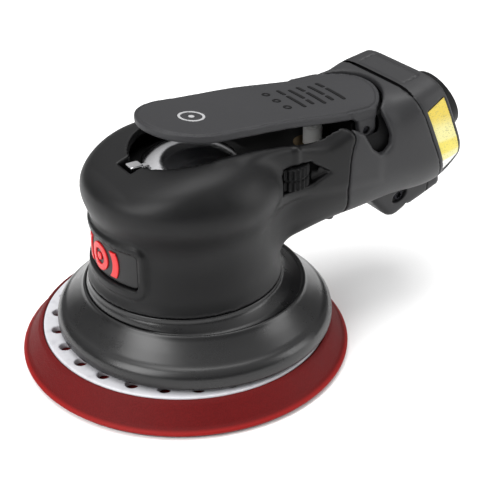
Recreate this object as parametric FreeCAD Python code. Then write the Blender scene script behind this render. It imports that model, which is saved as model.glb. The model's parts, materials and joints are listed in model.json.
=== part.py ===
import FreeCAD, Part

import math
import os

V = FreeCAD.Vector
X = V(1, 0, 0)
Y = V(0, 1, 0)
Z = V(0, 0, 1)

# Sizes in millimetres. +X runs from the head to the handle's rear, z = 0 is the abrasive face,
# and the motor's axis is x = y = 0.

# running and assembly clearances
RUN = 0.03
SLIP = 0.1
GAP = 0.3
LOOSE = 0.6

# backing pad
PAD_R = 63.5
HOOK_T = 1.0
FOAM_T = 8.0
PLATE_T = 2.8
PLATE_MARGIN = 8.2
PAD_LIP_H = 1.6
PAD_UNDERCUT = 1.0
HOLE_COUNT = 26
HOLE_R = 2.5
HOLE_EDGE = 5.6
HUB_R = 14.0
HUB_T = 2.0
STUD_R = 3.95
ORBIT = 2.38
REST_TURN = 65.8

# spindle and its bearing
SPINDLE_R = 6.0
SPINDLE_FLANGE_R = 9.5
SPINDLE_FLANGE_T = 2.6
SPINDLE_BEARING_R = 12.0
SPINDLE_BEARING_H = 9.0
CUP_WALL = 2.6
CUP_ROOF = 3.0
COUNTERWEIGHT_R = 24.0
COUNTERWEIGHT_H = 10.0

# motor
SHAFT_R = 4.0
BEARING_R = 11.0
BEARING_H = 7.0
ROTOR_R = 17.5
ROTOR_H = 23.4
ROTOR_OFFSET = 1.6
VANE_COUNT = 5
VANE_T = 1.6
VANE_DEPTH = 6.6
CAN_BORE = 26.0
CAN_WALL = 4.5
END_PLATE_T = 8.0
LOCK_RING_T = 3.0
LOCK_RING_HOLE = 18.0
SEAL_R = 0.8

# shroud
SHROUD_R = 53.0
SHROUD_SHIFT = 4.0
SHROUD_RIDGE_R = 41.9
SHROUD_GAP = 1.0
SHROUD_NECK_T = 2.4
SHROUD_WALL = 2.2

# head of the grip: radius and height above the pad's top at the named places
GRIP_FOOT = (37.0, 21.7)
GRIP_FLARE = (34.6, 28.7)
GRIP_WAIST_LOW = (33.2, 36.7)
GRIP_WAIST = (32.9, 43.7)
GRIP_RISE = (35.0, 50.7)
GRIP_BELLY = (37.1, 58.2)
GRIP_SHOULDER = (35.4, 64.7)
GRIP_BROW = (30.3, 70.7)
GRIP_TOP = (20.8, 74.7)
GRIP_PEAK = (0.0, 78.2)

# handle
NECK_X = 22.0
REACH = 108.8
GRIP_SHELL = 3.5
BAND_LENGTH = 11.0
REAR_WALL = 4.0
REAR_TILT = 24.8
SEAM_X = 60.5

# mouth in the top of the grip, under the lever
MOUTH_R = 20.5
MOUTH_X = 1.5
MOUTH_END_X = 73.5
MOUTH_FLOOR = 59.7
LUG_FRONT_X = 62.5
LUG_HALF = 17.2
LUG_TOP = 72.7
KEY_SLOT_W = 10.0
KEY_W = 5.0
KEY_REACH = 23.0

# polished crown
CROWN_X = 3.0
CROWN_R = 17.5
CROWN_SEAT = 64.7
CROWN_RIM = 4.2
CROWN_H = 7.5

# lever
LEVER_R = 19.3
LEVER_X = 3.3
LEVER_T = 3.0
LEVER_TIP_Z = 84.9
LEVER_FRONT_Z = 82.4
LEVER_MID_Z = 81.1
LEVER_WAIST_Z = 79.3
LEVER_REAR_Z = 80.3
LEVER_CORNER_X = 71.5
LEVER_REAR_X = 82.5
NEST_GAP = 1.2
NEST_FLOOR = 75.0
PIN_X = 67.9
PIN_Z = 69.3
PIN_R = 1.5
EAR_T = 2.4
EAR_R = 4.6
PUSHER_R = 5.0

# valve
VALVE_X = 57.5
STEM_R = 3.75
STEM_TOP = 64.7
VALVE_BORE = 7.5
BUSHING_DEPTH = 17.0
BUSHING_WALL = 1.6
BUSHING_ROOF = 3.0
OUTLET_CHAMBER = 5.0
SEAT_WEB = 1.0
SEAT_T = 0.4
SPRING_R = 4.6
SPRING_WIRE = 0.5
SPRING_TURNS = 4
DISC_T = 2.0

# speed dial
DIAL_X = 33.5
DIAL_Y = -18.5
DIAL_R = 8.0
DIAL_Z = 55.8
DIAL_H = 8.8
DIAL_TEETH = 24
DIAL_STEM_R = 4.0
DIAL_STEM_L = 9.0

# air passages and inlet
DUCT_R = 3.0
FEED_DROP = 7.5
EXHAUST_Z = 38.2
EXHAUST_Y = -3.0
INLET_R = 6.1
INLET_WALL = 2.6
INLET_DEPTH = 16.0
COLLAR_R = 19.0
COLLAR_T = 4.0
COLLAR_NOSE_R = 13.0
COLLAR_LENGTH = 11.0
SCREEN_T = 1.2

# exhaust block under the handle
FIN_HALF = 10.0
FIN_LENGTH = 37.0
FIN_PLUG_L = 9.0
MUFFLER_R = 3.6
SCREW_R = 1.6
SCREW_HEAD_R = 2.7
SCREW_SPACING = 12.8
SCREW_L = 9.0

# badge and label
BADGE_HALF = 18.0
BADGE_H = 14.0
BADGE_Z = 30.2
BADGE_PROUD = 1.4
MARK_PROUD = 0.7
LABEL_T = 0.4
LABEL_HALF = 14.0

# heights that follow from the sizes above
FOAM_TOP = HOOK_T + FOAM_T
DECK = FOAM_TOP + PLATE_T
PLATE_R = PAD_R - PLATE_MARGIN
CAN_R = CAN_BORE + CAN_WALL
FLANGE_TOP = DECK + SPINDLE_FLANGE_T
BEARING_FLOOR = FLANGE_TOP + GAP
CUP_TOP = BEARING_FLOOR + SPINDLE_BEARING_H + CUP_ROOF
CAN_FOOT = CUP_TOP + GAP
PLATE_LOW = CAN_FOOT + LOCK_RING_T
CYLINDER_LOW = PLATE_LOW + END_PLATE_T
CYLINDER_H = ROTOR_H + 2 * GAP
CYLINDER_TOP = CYLINDER_LOW + CYLINDER_H
UPPER_PLATE_TOP = CYLINDER_TOP + END_PLATE_T
CYLINDER_BORE = ROTOR_R + ROTOR_OFFSET + GAP
CROWN_Z = DECK + CROWN_SEAT
FLOOR_Z = DECK + MOUTH_FLOOR
PIN_LEVEL = DECK + PIN_Z
OUTLET_Z = FLOOR_Z - BUSHING_ROOF - OUTLET_CHAMBER / 2
SEAT_Z = FLOOR_Z - BUSHING_ROOF - OUTLET_CHAMBER - SEAT_WEB
STEM_FOOT_Z = SEAT_Z - SEAT_T - GAP
BUSHING_Z = FLOOR_Z - BUSHING_DEPTH
DIAL_FLOOR = DECK + DIAL_Z
EXHAUST_LEVEL = DECK + EXHAUST_Z


def cylinder(radius, height, base, direction=Z):
    return Part.makeCylinder(radius, height, base, direction)


def tube(outer, inner, height, base, direction=Z):
    reach = V(direction).normalize()
    bore = cylinder(inner, height + 2, base - reach, direction)
    return cylinder(outer, height, base, direction).cut(bore)


def block(low, high):
    size = high - low
    return Part.makeBox(size.x, size.y, size.z, low)


def revolve(points, centre=V(0, 0, 0)):
    """Solid of revolution about Z through centre; points are (radius, z) pairs."""
    corners = [V(r, 0, z) for r, z in points]
    face = Part.Face(Part.makePolygon(corners + [corners[0]]))
    solid = face.revolve(V(0, 0, 0), Z, 360)
    solid.translate(centre)
    return solid


def curve(points, start=None, end=None):
    """Spline through the points, with optional end tangents."""
    spline = Part.BSplineCurve()
    if start is None:
        spline.interpolate(Points=points)
    else:
        spline.interpolate(Points=points, InitialTangent=start, FinalTangent=end)
    return spline.toShape()


def prism(wire, height):
    return Part.Face(wire).extrude(V(0, 0, height))


def stadium(front_x, rear_x, front_half, rear_half, z, height, corner=2.0):
    """Upright prism with a half-round front and a straight rear with rounded corners."""
    rim = math.sqrt(0.5) * corner
    arc = Part.Arc(V(front_x, front_half, z), V(front_x - front_half, 0, z), V(front_x, -front_half, z))
    right = V(rear_x - corner, -rear_half, z)
    left = V(rear_x - corner, rear_half, z)
    bend_right = V(rear_x - corner + rim, -rear_half + corner - rim, z)
    bend_left = V(rear_x - corner + rim, rear_half - corner + rim, z)
    corner_right = V(rear_x, -rear_half + corner, z)
    corner_left = V(rear_x, rear_half - corner, z)
    edges = [
        arc.toShape(),
        Part.makeLine(V(front_x, -front_half, z), right),
        Part.Arc(right, bend_right, corner_right).toShape(),
        Part.makeLine(corner_right, corner_left),
        Part.Arc(corner_left, bend_left, left).toShape(),
        Part.makeLine(left, V(front_x, front_half, z)),
    ]
    return prism(Part.Wire(edges), height)


def paddle(margin, z, height):
    """Upright prism of the lever's outline, grown by margin: round front, bowed rear."""
    half_front = LEVER_R + margin
    half_rear = lever_half_rear() + margin
    tip = LEVER_REAR_X + margin
    edges = [
        Part.Arc(V(LEVER_X, half_front, z), V(LEVER_X - half_front, 0, z), V(LEVER_X, -half_front, z)).toShape(),
        Part.makeLine(V(LEVER_X, -half_front, z), V(LEVER_CORNER_X, -half_rear, z)),
        Part.Arc(V(LEVER_CORNER_X, -half_rear, z), V(tip, 0, z), V(LEVER_CORNER_X, half_rear, z)).toShape(),
        Part.makeLine(V(LEVER_CORNER_X, half_rear, z), V(LEVER_X, half_front, z)),
    ]
    return prism(Part.Wire(edges), height)


def lever_half_rear():
    return LUG_HALF + GAP + EAR_T


def side_prism(points, half):
    """Solid of an x-z outline, from y = -half to y = +half; z is measured from the pad's top."""
    corners = [V(x, -half, DECK + z) for x, z in points]
    face = Part.Face(Part.makePolygon(corners + [corners[0]]))
    return face.extrude(V(0, 2 * half, 0))


def tilted(x, z, tilt):
    """Point, up direction and rearward normal of a handle section."""
    lean = math.radians(tilt)
    return V(x, 0, z), V(-math.sin(lean), 0, math.cos(lean)), V(math.cos(lean), 0, math.sin(lean))


def half_space(x, z, tilt):
    """Everything behind the tilted plane through (x, z)."""
    centre, up, normal = tilted(x, z, tilt)
    size = 300.0
    corners = [centre + up * (a * size) + Y * (b * size) for a, b in ((1, 1), (1, -1), (-1, -1), (-1, 1))]
    return Part.Face(Part.makePolygon(corners + [corners[0]])).extrude(normal * size)


# Handle sections: share of the way from the neck to the rear edge, height of the centre above
# the pad's top, half height, half width and lean.
STATIONS = (
    (0.00, 50.7, 26.5, 22.0, 0.0),
    (0.20, 52.5, 26.0, 23.4, 0.0),
    (0.35, 54.5, 24.5, 24.6, 2.0),
    (0.51, 55.6, 24.2, 25.4, 7.0),
    (0.67, 56.9, 24.4, 26.0, 15.0),
    (0.88, 58.5, 25.5, 26.8, 23.6),
    (1.00, 63.3, 23.2, 25.3, REAR_TILT),
)


def station_x(share):
    return NECK_X + share * (REACH - NECK_X)


def section(share, height, half_height, half_width, lean, inset):
    """Closed rounded-square section of the handle, rounder below than above."""
    centre, up, normal = tilted(station_x(share), DECK + height, lean)
    points = []
    for step in range(28):
        angle = 2 * math.pi * step / 28
        c = math.cos(angle)
        s = math.sin(angle)
        power = 2 / 3.8 if s >= 0 else 2 / 2.4
        side = math.copysign(abs(c) ** power, c) * (half_width - inset)
        rise = math.copysign(abs(s) ** power, s) * (half_height - inset)
        points.append(centre + Y * side + up * rise)
    spline = Part.BSplineCurve()
    spline.interpolate(Points=points, PeriodicFlag=True)
    return Part.Wire(spline.toShape())


def handle_loft(inset):
    return Part.makeLoft([section(*station, inset) for station in STATIONS], True, False)


def head_solid():
    names = (GRIP_FOOT, GRIP_FLARE, GRIP_WAIST_LOW, GRIP_WAIST, GRIP_RISE, GRIP_BELLY,
             GRIP_SHOULDER, GRIP_BROW, GRIP_TOP, GRIP_PEAK)
    points = [V(r, 0, DECK + z) for r, z in names]
    side = curve(points, V(-0.4, 0, 1), V(-1, 0, 0))
    foot = V(0, 0, points[0].z)
    wire = Part.Wire([side, Part.makeLine(points[-1], foot), Part.makeLine(foot, points[0])])
    return Part.Face(wire).revolve(V(0, 0, 0), Z, 360)


def rear_plane(back):
    """Half space behind the handle's rear edge, moved forward by back."""
    _, height, _, _, lean = STATIONS[-1]
    centre, up, normal = tilted(REACH, DECK + height, lean)
    place = centre - normal * back
    return half_space(place.x, place.z, lean)


def behind_seam():
    """Everything behind the seam between the soft grip and the rear handle."""
    return side_prism(
        ((SEAM_X - 5, 90), (SEAM_X - 4, 74), (SEAM_X + 1.2, 67.5), (SEAM_X + 1.6, 64), (SEAM_X - 0.4, 54),
         (SEAM_X - 1.4, 40), (SEAM_X - 1.4, 10), (SEAM_X + 200, 10), (SEAM_X + 200, 90)), 60)


def mouth():
    """Opening from the grip's top down to the floor under the lever."""
    opening = stadium(MOUTH_X, MOUTH_END_X, MOUTH_R, MOUTH_R + 0.8, FLOOR_Z, 60)
    slot = block(V(-KEY_REACH, -KEY_SLOT_W / 2, CROWN_Z), V(0, KEY_SLOT_W / 2, CROWN_Z + 30))
    nest = paddle(NEST_GAP, DECK + NEST_FLOOR, 40).common(half_space(MOUTH_END_X - 8, DECK, 0))
    return opening.fuse(slot).fuse(nest)


def ear_pocket():
    """Tear-shaped windows beside the lever's ears."""
    outline = ((PIN_X + 2.6, 80), (PIN_X + 7.7, 67.3), (PIN_X + 7.4, 62.7), (PIN_X + 3.6, 61.2),
               (PIN_X - 1.1, 63.9), (PIN_X - 4.5, 67.9), (PIN_X - 4.5, 80))
    return side_prism(outline, 40)


def dial_pocket():
    pocket = cylinder(DIAL_R + LOOSE, DIAL_H + 2 * GAP, V(DIAL_X, DIAL_Y, DIAL_FLOOR - GAP))
    stem_l = DIAL_STEM_L + LOOSE
    pocket = pocket.fuse(cylinder(DIAL_STEM_R, stem_l, V(DIAL_X, DIAL_Y, DIAL_FLOOR - stem_l)))
    low = DIAL_FLOOR
    scoop = Part.makePolygon([
        V(DIAL_X, DIAL_Y - DIAL_R - 6, low), V(DIAL_X + 15, DIAL_Y - DIAL_R - 6, low),
        V(DIAL_X + 5, DIAL_Y + 1, low), V(DIAL_X, DIAL_Y + 1, low), V(DIAL_X, DIAL_Y - DIAL_R - 6, low)])
    return pocket.fuse(prism(scoop, DIAL_H - 1.5))


def inlet_axis():
    _, height, _, _, lean = STATIONS[-1]
    centre, up, normal = tilted(REACH, DECK + height, lean)
    return centre - up * 3.0, normal


def valve_bore():
    return cylinder(VALVE_BORE, BUSHING_DEPTH + 60, V(VALVE_X, 0, BUSHING_Z))


def can_solid():
    top = CROWN_Z - DECK
    points = ((0, CAN_FOOT - DECK), (CAN_R, CAN_FOOT - DECK), (CAN_R, top - 8), (CAN_R - 1.5, top - 3),
              (CAN_R - 4, top), (0, top))
    return revolve([(r, DECK + z) for r, z in points])


def core_solid():
    """Outer envelope of the hard housing: head can and handle core."""
    handle = handle_loft(GRIP_SHELL).cut(rear_plane(REAR_WALL)).cut(mouth())
    return can_solid().fuse(handle)


def trim_level():
    """Height of the speed dial's cross passage, where the feed duct passes the dial."""
    return OUTLET_Z - FEED_DROP * (VALVE_X - DIAL_X) / (VALVE_X - CAN_BORE + 6)


def exhaust_drop():
    return cylinder(DUCT_R, 16, V(fin_x(0.5), EXHAUST_Y, EXHAUST_LEVEL - 14))


def motor_housing():
    core = CORE.cut(cylinder(CAN_BORE, UPPER_PLATE_TOP + 1 - CAN_FOOT + 5, V(0, 0, CAN_FOOT - 5)))
    lug = block(V(LUG_FRONT_X, -LUG_HALF, FLOOR_Z - 4), V(MOUTH_END_X + 2, LUG_HALF, DECK + LUG_TOP))
    lug = lug.common(stadium(MOUTH_X, MOUTH_END_X, MOUTH_R, LUG_HALF, FLOOR_Z - 4, 60))
    core = core.fuse(lug)
    core = core.cut(cylinder(PIN_R, 80, V(PIN_X, -40, PIN_LEVEL), Y))
    core = core.cut(valve_bore())
    core = core.cut(dial_pocket())
    feed_end = V(CAN_BORE - 6, 0, OUTLET_Z - FEED_DROP)
    feed_way = V(VALVE_X, 0, OUTLET_Z) - feed_end
    feed = cylinder(DUCT_R, feed_way.Length, feed_end, feed_way)
    trim = cylinder(DIAL_STEM_R / 2, -DIAL_Y, V(DIAL_X, DIAL_Y, trim_level()), Y)
    place, normal = inlet_axis()
    inlet = cylinder(INLET_R + INLET_WALL, INLET_DEPTH + 10, place - normal * INLET_DEPTH, normal)
    supply_end = V(VALVE_X, 0, BUSHING_Z + DUCT_R - 0.5)
    supply_way = supply_end - (place - normal * INLET_DEPTH)
    supply = cylinder(DUCT_R, supply_way.Length + 4, place - normal * (INLET_DEPTH - 1), supply_way)
    exhaust = cylinder(DUCT_R, fin_x(0.5) - CAN_BORE + 6, V(CAN_BORE - 6, EXHAUST_Y, EXHAUST_LEVEL), X)
    drop = exhaust_drop()
    for way in (feed, trim, inlet, supply, exhaust, drop):
        core = core.cut(way)
    for screw in screw_shapes(SCREW_R):
        core = core.cut(screw)
    return core


def shell(region):
    """Part of the outer skin inside region, hollowed to fit over the hard housing."""
    return region.cut(CORE).cut(mouth())


def soft_grip():
    region = HEAD.fuse(HANDLE).cut(behind_seam())
    region = region.cut(handle_loft(GRIP_SHELL).cut(rear_plane(REAR_WALL)))
    skin = shell(region).cut(cylinder(CAN_R, CROWN_Z - 5, V(0, 0, 0)))
    neck = cylinder(CAN_R + SHROUD_NECK_T + SLIP, 30, V(0, 0, DECK + GRIP_FOOT[1] + 3 - 30))
    skin = skin.cut(neck).cut(dial_pocket()).cut(badge_block(BADGE_PROUD + 8, 10))
    hollow = cylinder(CROWN_R + GAP, 30, V(CROWN_X, 0, CROWN_Z))
    return skin.cut(hollow).cut(cylinder(MOUTH_R, 30, V(MOUTH_X, 0, CROWN_Z)))


def band_plane():
    return rear_plane(BAND_LENGTH)


def rear_handle():
    skin = shell(HANDLE.common(behind_seam()).cut(band_plane()))
    skin = skin.cut(ear_pocket())
    return skin.cut(fin_solid())


def handle_end_cap():
    skin = shell(HANDLE.common(band_plane()))
    place, normal = inlet_axis()
    skin = skin.cut(cylinder(INLET_R + INLET_WALL, 60, place - normal * 30, normal))
    skin = skin.cut(label_shape(LABEL_T + 0.2))
    return skin.cut(fin_solid())


def shroud():
    """Skirt about an axis SHROUD_SHIFT behind the motor's, on a collar that fits the can."""
    rim = DECK + SHROUD_GAP
    foot = DECK + GRIP_FOOT[1]
    neck_r = CAN_R + SLIP
    outer = SHROUD_R
    ridge = SHROUD_RIDGE_R
    cone = curve([V(outer - 0.6, 0, rim + 5.8), V(outer - 2.6, 0, rim + 7.9), V(ridge + 3.4, 0, rim + 12.2),
                  V(ridge + 0.8, 0, rim + 15.4)])
    points = [(ridge + 0.8, rim + 15.4), (ridge, rim + 16.0), (ridge - 3.0, rim + 16.3),
              (GRIP_FOOT[0] - 0.6, foot - 2.4), (GRIP_FOOT[0] - 0.6 - SHROUD_SHIFT, foot - 2.4),
              (neck_r - SHROUD_SHIFT - 2, foot - 2.4), (neck_r - SHROUD_SHIFT - 2, rim + 14.0),
              (ridge - 3.0, rim + 13.6), (ridge - 0.8, rim + 12.4), (ridge + 2.2, rim + 8.4),
              (outer - SHROUD_WALL - 1.2, rim + 4.2), (outer - SHROUD_WALL, rim), (outer - 1.0, rim),
              (outer, rim + 0.7), (outer, rim + 3.8), (outer - 0.6, rim + 5.8)]
    corners = [V(r, 0, z) for r, z in points]
    wire = Part.Wire([cone] + Part.makePolygon(corners).Edges)
    skirt = Part.Face(wire).revolve(V(0, 0, 0), Z, 360)
    skirt.translate(V(SHROUD_SHIFT, 0, 0))
    skirt = skirt.cut(tube(outer, GRIP_FOOT[0] - 0.6, 20, V(0, 0, foot - 2.4)))
    collar = tube(neck_r + SHROUD_NECK_T - SLIP, neck_r, foot + 3 - SLIP - rim - 14.0, V(0, 0, rim + 14.0))
    ledge = tube(GRIP_FOOT[0] - 0.6, neck_r, foot - SLIP - rim - 14.0, V(0, 0, rim + 14.0))
    body = skirt.fuse(collar).fuse(ledge)
    return body.cut(cylinder(neck_r, 60, V(0, 0, DECK)))


def crown_cap():
    rise = CROWN_H - CROWN_RIM
    sphere_r = (CROWN_R ** 2 + rise ** 2) / (2 * rise)
    body = cylinder(CROWN_R, CROWN_H, V(CROWN_X, 0, CROWN_Z))
    dome = Part.makeSphere(sphere_r, V(CROWN_X, 0, CROWN_Z + CROWN_H - sphere_r))
    return body.common(dome)


def key_rib():
    front = -KEY_REACH + 1.5
    neck_x = CROWN_X - CROWN_R - 2.0
    head = block(V(front, -KEY_W / 2, CROWN_Z), V(neck_x, KEY_W / 2, CROWN_Z + 4.8))
    neck = block(V(neck_x, -KEY_W / 3, CROWN_Z), V(CROWN_X - CROWN_R + 3, KEY_W / 3, CROWN_Z + 3.6))
    return head.fuse(neck).cut(crown_cap())


def badge_block(proud, depth):
    """Curved plate on the head's front, from depth inside the skin to proud outside it."""
    outer = GRIP_WAIST[0] + proud + 0.6
    low = DECK + BADGE_Z
    ring = tube(outer, outer - depth, BADGE_H, V(0, 0, low))
    window = block(V(-60, -BADGE_HALF, low), V(0, BADGE_HALF, low + BADGE_H))
    return ring.common(window)


def badge_plate():
    return badge_block(BADGE_PROUD, 2.0)


def badge_mark():
    """Ring with an orbiting dot each side, standing on the badge plate."""
    outer = GRIP_WAIST[0] + BADGE_PROUD + 0.6
    skin = tube(outer + MARK_PROUD, outer, BADGE_H, V(0, 0, DECK + BADGE_Z))
    mid = DECK + BADGE_Z + BADGE_H / 2
    ring = tube(BADGE_H * 0.34, BADGE_H * 0.22, 60, V(-60, 0, mid), X)
    shape = ring
    for side in (-1, 1):
        shape = shape.fuse(cylinder(BADGE_H * 0.13, 60, V(-60, side * BADGE_H * 0.72, mid), X))
    return skin.common(shape)


def label_shape(thickness):
    """Thin skin on the side of the end cap."""
    place, normal = inlet_axis()
    skin = HANDLE.cut(handle_loft(thickness))
    centre = place - normal * (BAND_LENGTH / 2)
    window = half_space(centre.x - normal.x * 4, centre.z - normal.z * 4, REAR_TILT)
    window = window.cut(half_space(centre.x + normal.x * 4, centre.z + normal.z * 4, REAR_TILT))
    level = block(V(0, -60, centre.z - LABEL_HALF), V(REACH + 60, -15, centre.z + LABEL_HALF))
    return skin.common(window).common(level)


def rating_label():
    return label_shape(LABEL_T)


def fin_x(share):
    return REACH + 10.0 - FIN_LENGTH * (1 - share)


def fin_solid():
    """Exhaust fin below the rear handle, front block and rear plug together."""
    base = REACH + 10.0 - FIN_LENGTH
    outline = ((base - 1, 36.5), (base + 1, 31.0), (base + 10.4, 22.2), (base + 14.3, 20.6),
               (base + 18, 22.1), (base + 27.8, 25.8), (base + 36.7, 29.1), (base + 37.5, 31.2),
               (base + 36, 36.5), (base + 30, 39.5), (base + 10, 39.5))
    body = side_prism(outline, FIN_HALF)
    edges = [e for e in body.Edges if abs(e.BoundBox.YLength) < 0.01 and e.CenterOfMass.z < DECK + 31]
    return body.makeFillet(2.0, edges)


def fin_cut():
    return half_space(fin_x(1) - FIN_PLUG_L, DECK + 30, 0)


def muffler_room(radius):
    return cylinder(radius, FIN_LENGTH * 0.5, V(fin_x(0.42), 0, DECK + 31.5), X)


def exhaust_block():
    body = fin_solid().cut(CORE).cut(fin_cut()).cut(muffler_room(MUFFLER_R + SLIP))
    body = body.cut(exhaust_drop())
    for screw in screw_shapes(SCREW_R) + screw_recesses():
        body = body.cut(screw)
    return body


def exhaust_plug():
    body = fin_solid().cut(CORE).common(fin_cut()).cut(muffler_room(MUFFLER_R + SLIP))
    for side in (-1, 0, 1):
        slot = block(V(fin_x(1) - FIN_PLUG_L, side * 4.5 - 1.1, DECK + 28),
                     V(fin_x(1) + 9, side * 4.5 + 1.1, DECK + 33))
        body = body.cut(slot)
    return body


def muffler():
    body = muffler_room(MUFFLER_R)
    return body.cut(cylinder(2.0, FIN_LENGTH, V(fin_x(0.42) - 1, 0, DECK + 31.5), X))


def screw_places():
    return [V(fin_x(0.42) + 2, side * SCREW_SPACING / 2, DECK + 24.5) for side in (-1, 1)]


def screw_shapes(radius):
    return [cylinder(radius, SCREW_L + 6, place + V(0, 0, 2)) for place in screw_places()]


def screw_recesses():
    return [cylinder(SCREW_HEAD_R + SLIP, 30, place + V(0, 0, 4 - 30)) for place in screw_places()]


def star_socket(place):
    """Six-lobed driver recess."""
    lobe = SCREW_HEAD_R * 0.22
    socket = cylinder(SCREW_HEAD_R * 0.45, 1.8, place)
    for step in range(6):
        angle = math.radians(60 * step)
        arm = V(math.cos(angle), math.sin(angle), 0) * (SCREW_HEAD_R * 0.45)
        socket = socket.fuse(cylinder(lobe, 1.8, place + arm))
    return socket


def exhaust_screws():
    solids = []
    for place in screw_places():
        head = cylinder(SCREW_HEAD_R, 2.6, place + V(0, 0, 1.4))
        body = head.fuse(cylinder(SCREW_R, SCREW_L + 4, place + V(0, 0, 4)))
        solids.append(body.cut(star_socket(place + V(0, 0, 1.4))))
    return Part.makeCompound(solids)


def inlet_bushing():
    place, normal = inlet_axis()
    outer = INLET_R + INLET_WALL
    body = cylinder(outer, INLET_DEPTH + COLLAR_LENGTH - 1, place - normal * INLET_DEPTH, normal)
    body = body.cut(cylinder(INLET_R, INLET_DEPTH + COLLAR_LENGTH, place - normal * (INLET_DEPTH - 2), normal))
    return body.cut(cylinder(INLET_R - 2, 10, place - normal * (INLET_DEPTH + 4), normal))


def inlet_collar():
    place, normal = inlet_axis()
    base = cylinder(COLLAR_R, COLLAR_T, place, normal)
    nose = Part.makeCone(COLLAR_R, COLLAR_NOSE_R, COLLAR_LENGTH - COLLAR_T, place + normal * COLLAR_T, normal)
    outer = INLET_R + INLET_WALL
    return base.fuse(nose).cut(cylinder(outer, 60, place - normal * 30, normal))


def inlet_screen():
    """Perforated disc at the inner end of the inlet's bore."""
    place, normal = inlet_axis()
    seat = place - normal * INLET_DEPTH
    disc = cylinder(INLET_R - 2 - SLIP, SCREEN_T, seat, normal)
    across = normal.cross(Y)
    for row in (-1, 0, 1):
        for column in (-1, 0, 1):
            hole = seat + Y * (row * 1.9) + across * (column * 1.9) - normal
            disc = disc.cut(cylinder(0.7, SCREEN_T + 2, hole, normal))
    return disc


def lever_pin():
    length = 2 * (LUG_HALF + SLIP + EAR_T + 0.6)
    return cylinder(PIN_R, length, V(PIN_X, -length / 2, PIN_LEVEL), Y)


def valve_bushing():
    bore = VALVE_BORE - BUSHING_WALL
    body = cylinder(VALVE_BORE, BUSHING_DEPTH, V(VALVE_X, 0, BUSHING_Z))
    body = body.cut(cylinder(STEM_R + SLIP, BUSHING_DEPTH + 2, V(VALVE_X, 0, BUSHING_Z - 1)))
    body = body.cut(cylinder(STEM_R + GAP, SEAT_WEB + 2, V(VALVE_X, 0, SEAT_Z - 1)))
    body = body.cut(cylinder(bore, SEAT_Z - BUSHING_Z, V(VALVE_X, 0, BUSHING_Z)))
    body = body.cut(cylinder(bore, OUTLET_CHAMBER, V(VALVE_X, 0, SEAT_Z + SEAT_WEB)))
    outlet = cylinder(DUCT_R - 1, 2 * VALVE_BORE, V(VALVE_X - 2 * VALVE_BORE, 0, OUTLET_Z), X)
    supply = cylinder(DUCT_R - 1, 2 * VALVE_BORE, V(VALVE_X, 0, BUSHING_Z + DUCT_R), X)
    return body.cut(outlet).cut(supply)


def valve_spring():
    """Coil below the valve disc: level rings, each joined to the next by a short post."""
    low = BUSHING_Z + 2 * SPRING_WIRE
    high = STEM_FOOT_Z - DISC_T - 2 * SPRING_WIRE
    pitch = (high - low) / SPRING_TURNS
    rings = [Part.makeTorus(SPRING_R, SPRING_WIRE, V(VALVE_X, 0, low + k * pitch))
             for k in range(SPRING_TURNS + 1)]
    posts = [Part.makeCylinder(SPRING_WIRE * 0.8, pitch,
                               V(VALVE_X + (-1) ** k * SPRING_R, 0, low + k * pitch))
             for k in range(SPRING_TURNS)]
    return rings[0].fuse(rings[1:] + posts)


def valve_disc():
    low = STEM_FOOT_Z - DISC_T
    disc = cylinder(VALVE_BORE - BUSHING_WALL - GAP, DISC_T, V(VALVE_X, 0, low))
    groove = tube(VALVE_BORE, VALVE_BORE - BUSHING_WALL - 1, 0.8, V(VALVE_X, 0, low + 0.6))
    return disc.cut(groove)


def valve_stem():
    body = cylinder(STEM_R, DECK + STEM_TOP - STEM_FOOT_Z, V(VALVE_X, 0, STEM_FOOT_Z))
    top = [e for e in body.Edges if e.CenterOfMass.z > DECK + STEM_TOP - 0.1]
    return body.makeFillet(0.8, top)


def valve_seat_ring():
    return tube(VALVE_BORE - BUSHING_WALL, STEM_R + GAP, SEAT_T, V(VALVE_X, 0, SEAT_Z - SEAT_T))


def lock_ring():
    body = tube(CAN_BORE - SLIP, LOCK_RING_HOLE, LOCK_RING_T, V(0, 0, CAN_FOOT))
    for step in range(4):
        angle = math.radians(90 * step + 45)
        place = V(math.cos(angle), math.sin(angle), 0) * ((CAN_BORE + LOCK_RING_HOLE) / 2)
        body = body.cut(cylinder(1.6, LOCK_RING_T + 2, place + V(0, 0, CAN_FOOT - 1)))
    return body


def end_plate(low, bearing_low):
    """Round plate with a bearing pocket, a shaft hole and a groove for its seal."""
    body = cylinder(CAN_BORE - SLIP, END_PLATE_T, V(0, 0, low))
    body = body.cut(cylinder(SHAFT_R + 1.5, END_PLATE_T + 2, V(0, 0, low - 1)))
    body = body.cut(cylinder(BEARING_R, BEARING_H, V(0, 0, bearing_low)))
    groove = tube(CAN_BORE + 1, CAN_BORE - SLIP - 2 * SEAL_R, 2 * SEAL_R, V(0, 0, low + END_PLATE_T / 2 - SEAL_R))
    return body.cut(groove).cut(dowel_shape())


def lower_end_plate():
    return end_plate(PLATE_LOW, PLATE_LOW)


def upper_end_plate():
    return end_plate(CYLINDER_TOP, UPPER_PLATE_TOP - BEARING_H)


def dowel_shape():
    return cylinder(1.0, 2 * END_PLATE_T + CYLINDER_H - 4, V(-CAN_BORE + 3.1, 0, PLATE_LOW + 2))


def cylinder_dowel():
    return dowel_shape()


def cylinder_seals():
    rings = []
    for low in (PLATE_LOW, CYLINDER_TOP):
        ring = Part.makeTorus(CAN_BORE - SLIP - SEAL_R, SEAL_R, V(0, 0, low + END_PLATE_T / 2))
        rings.append(ring)
    return Part.makeCompound(rings)


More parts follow.
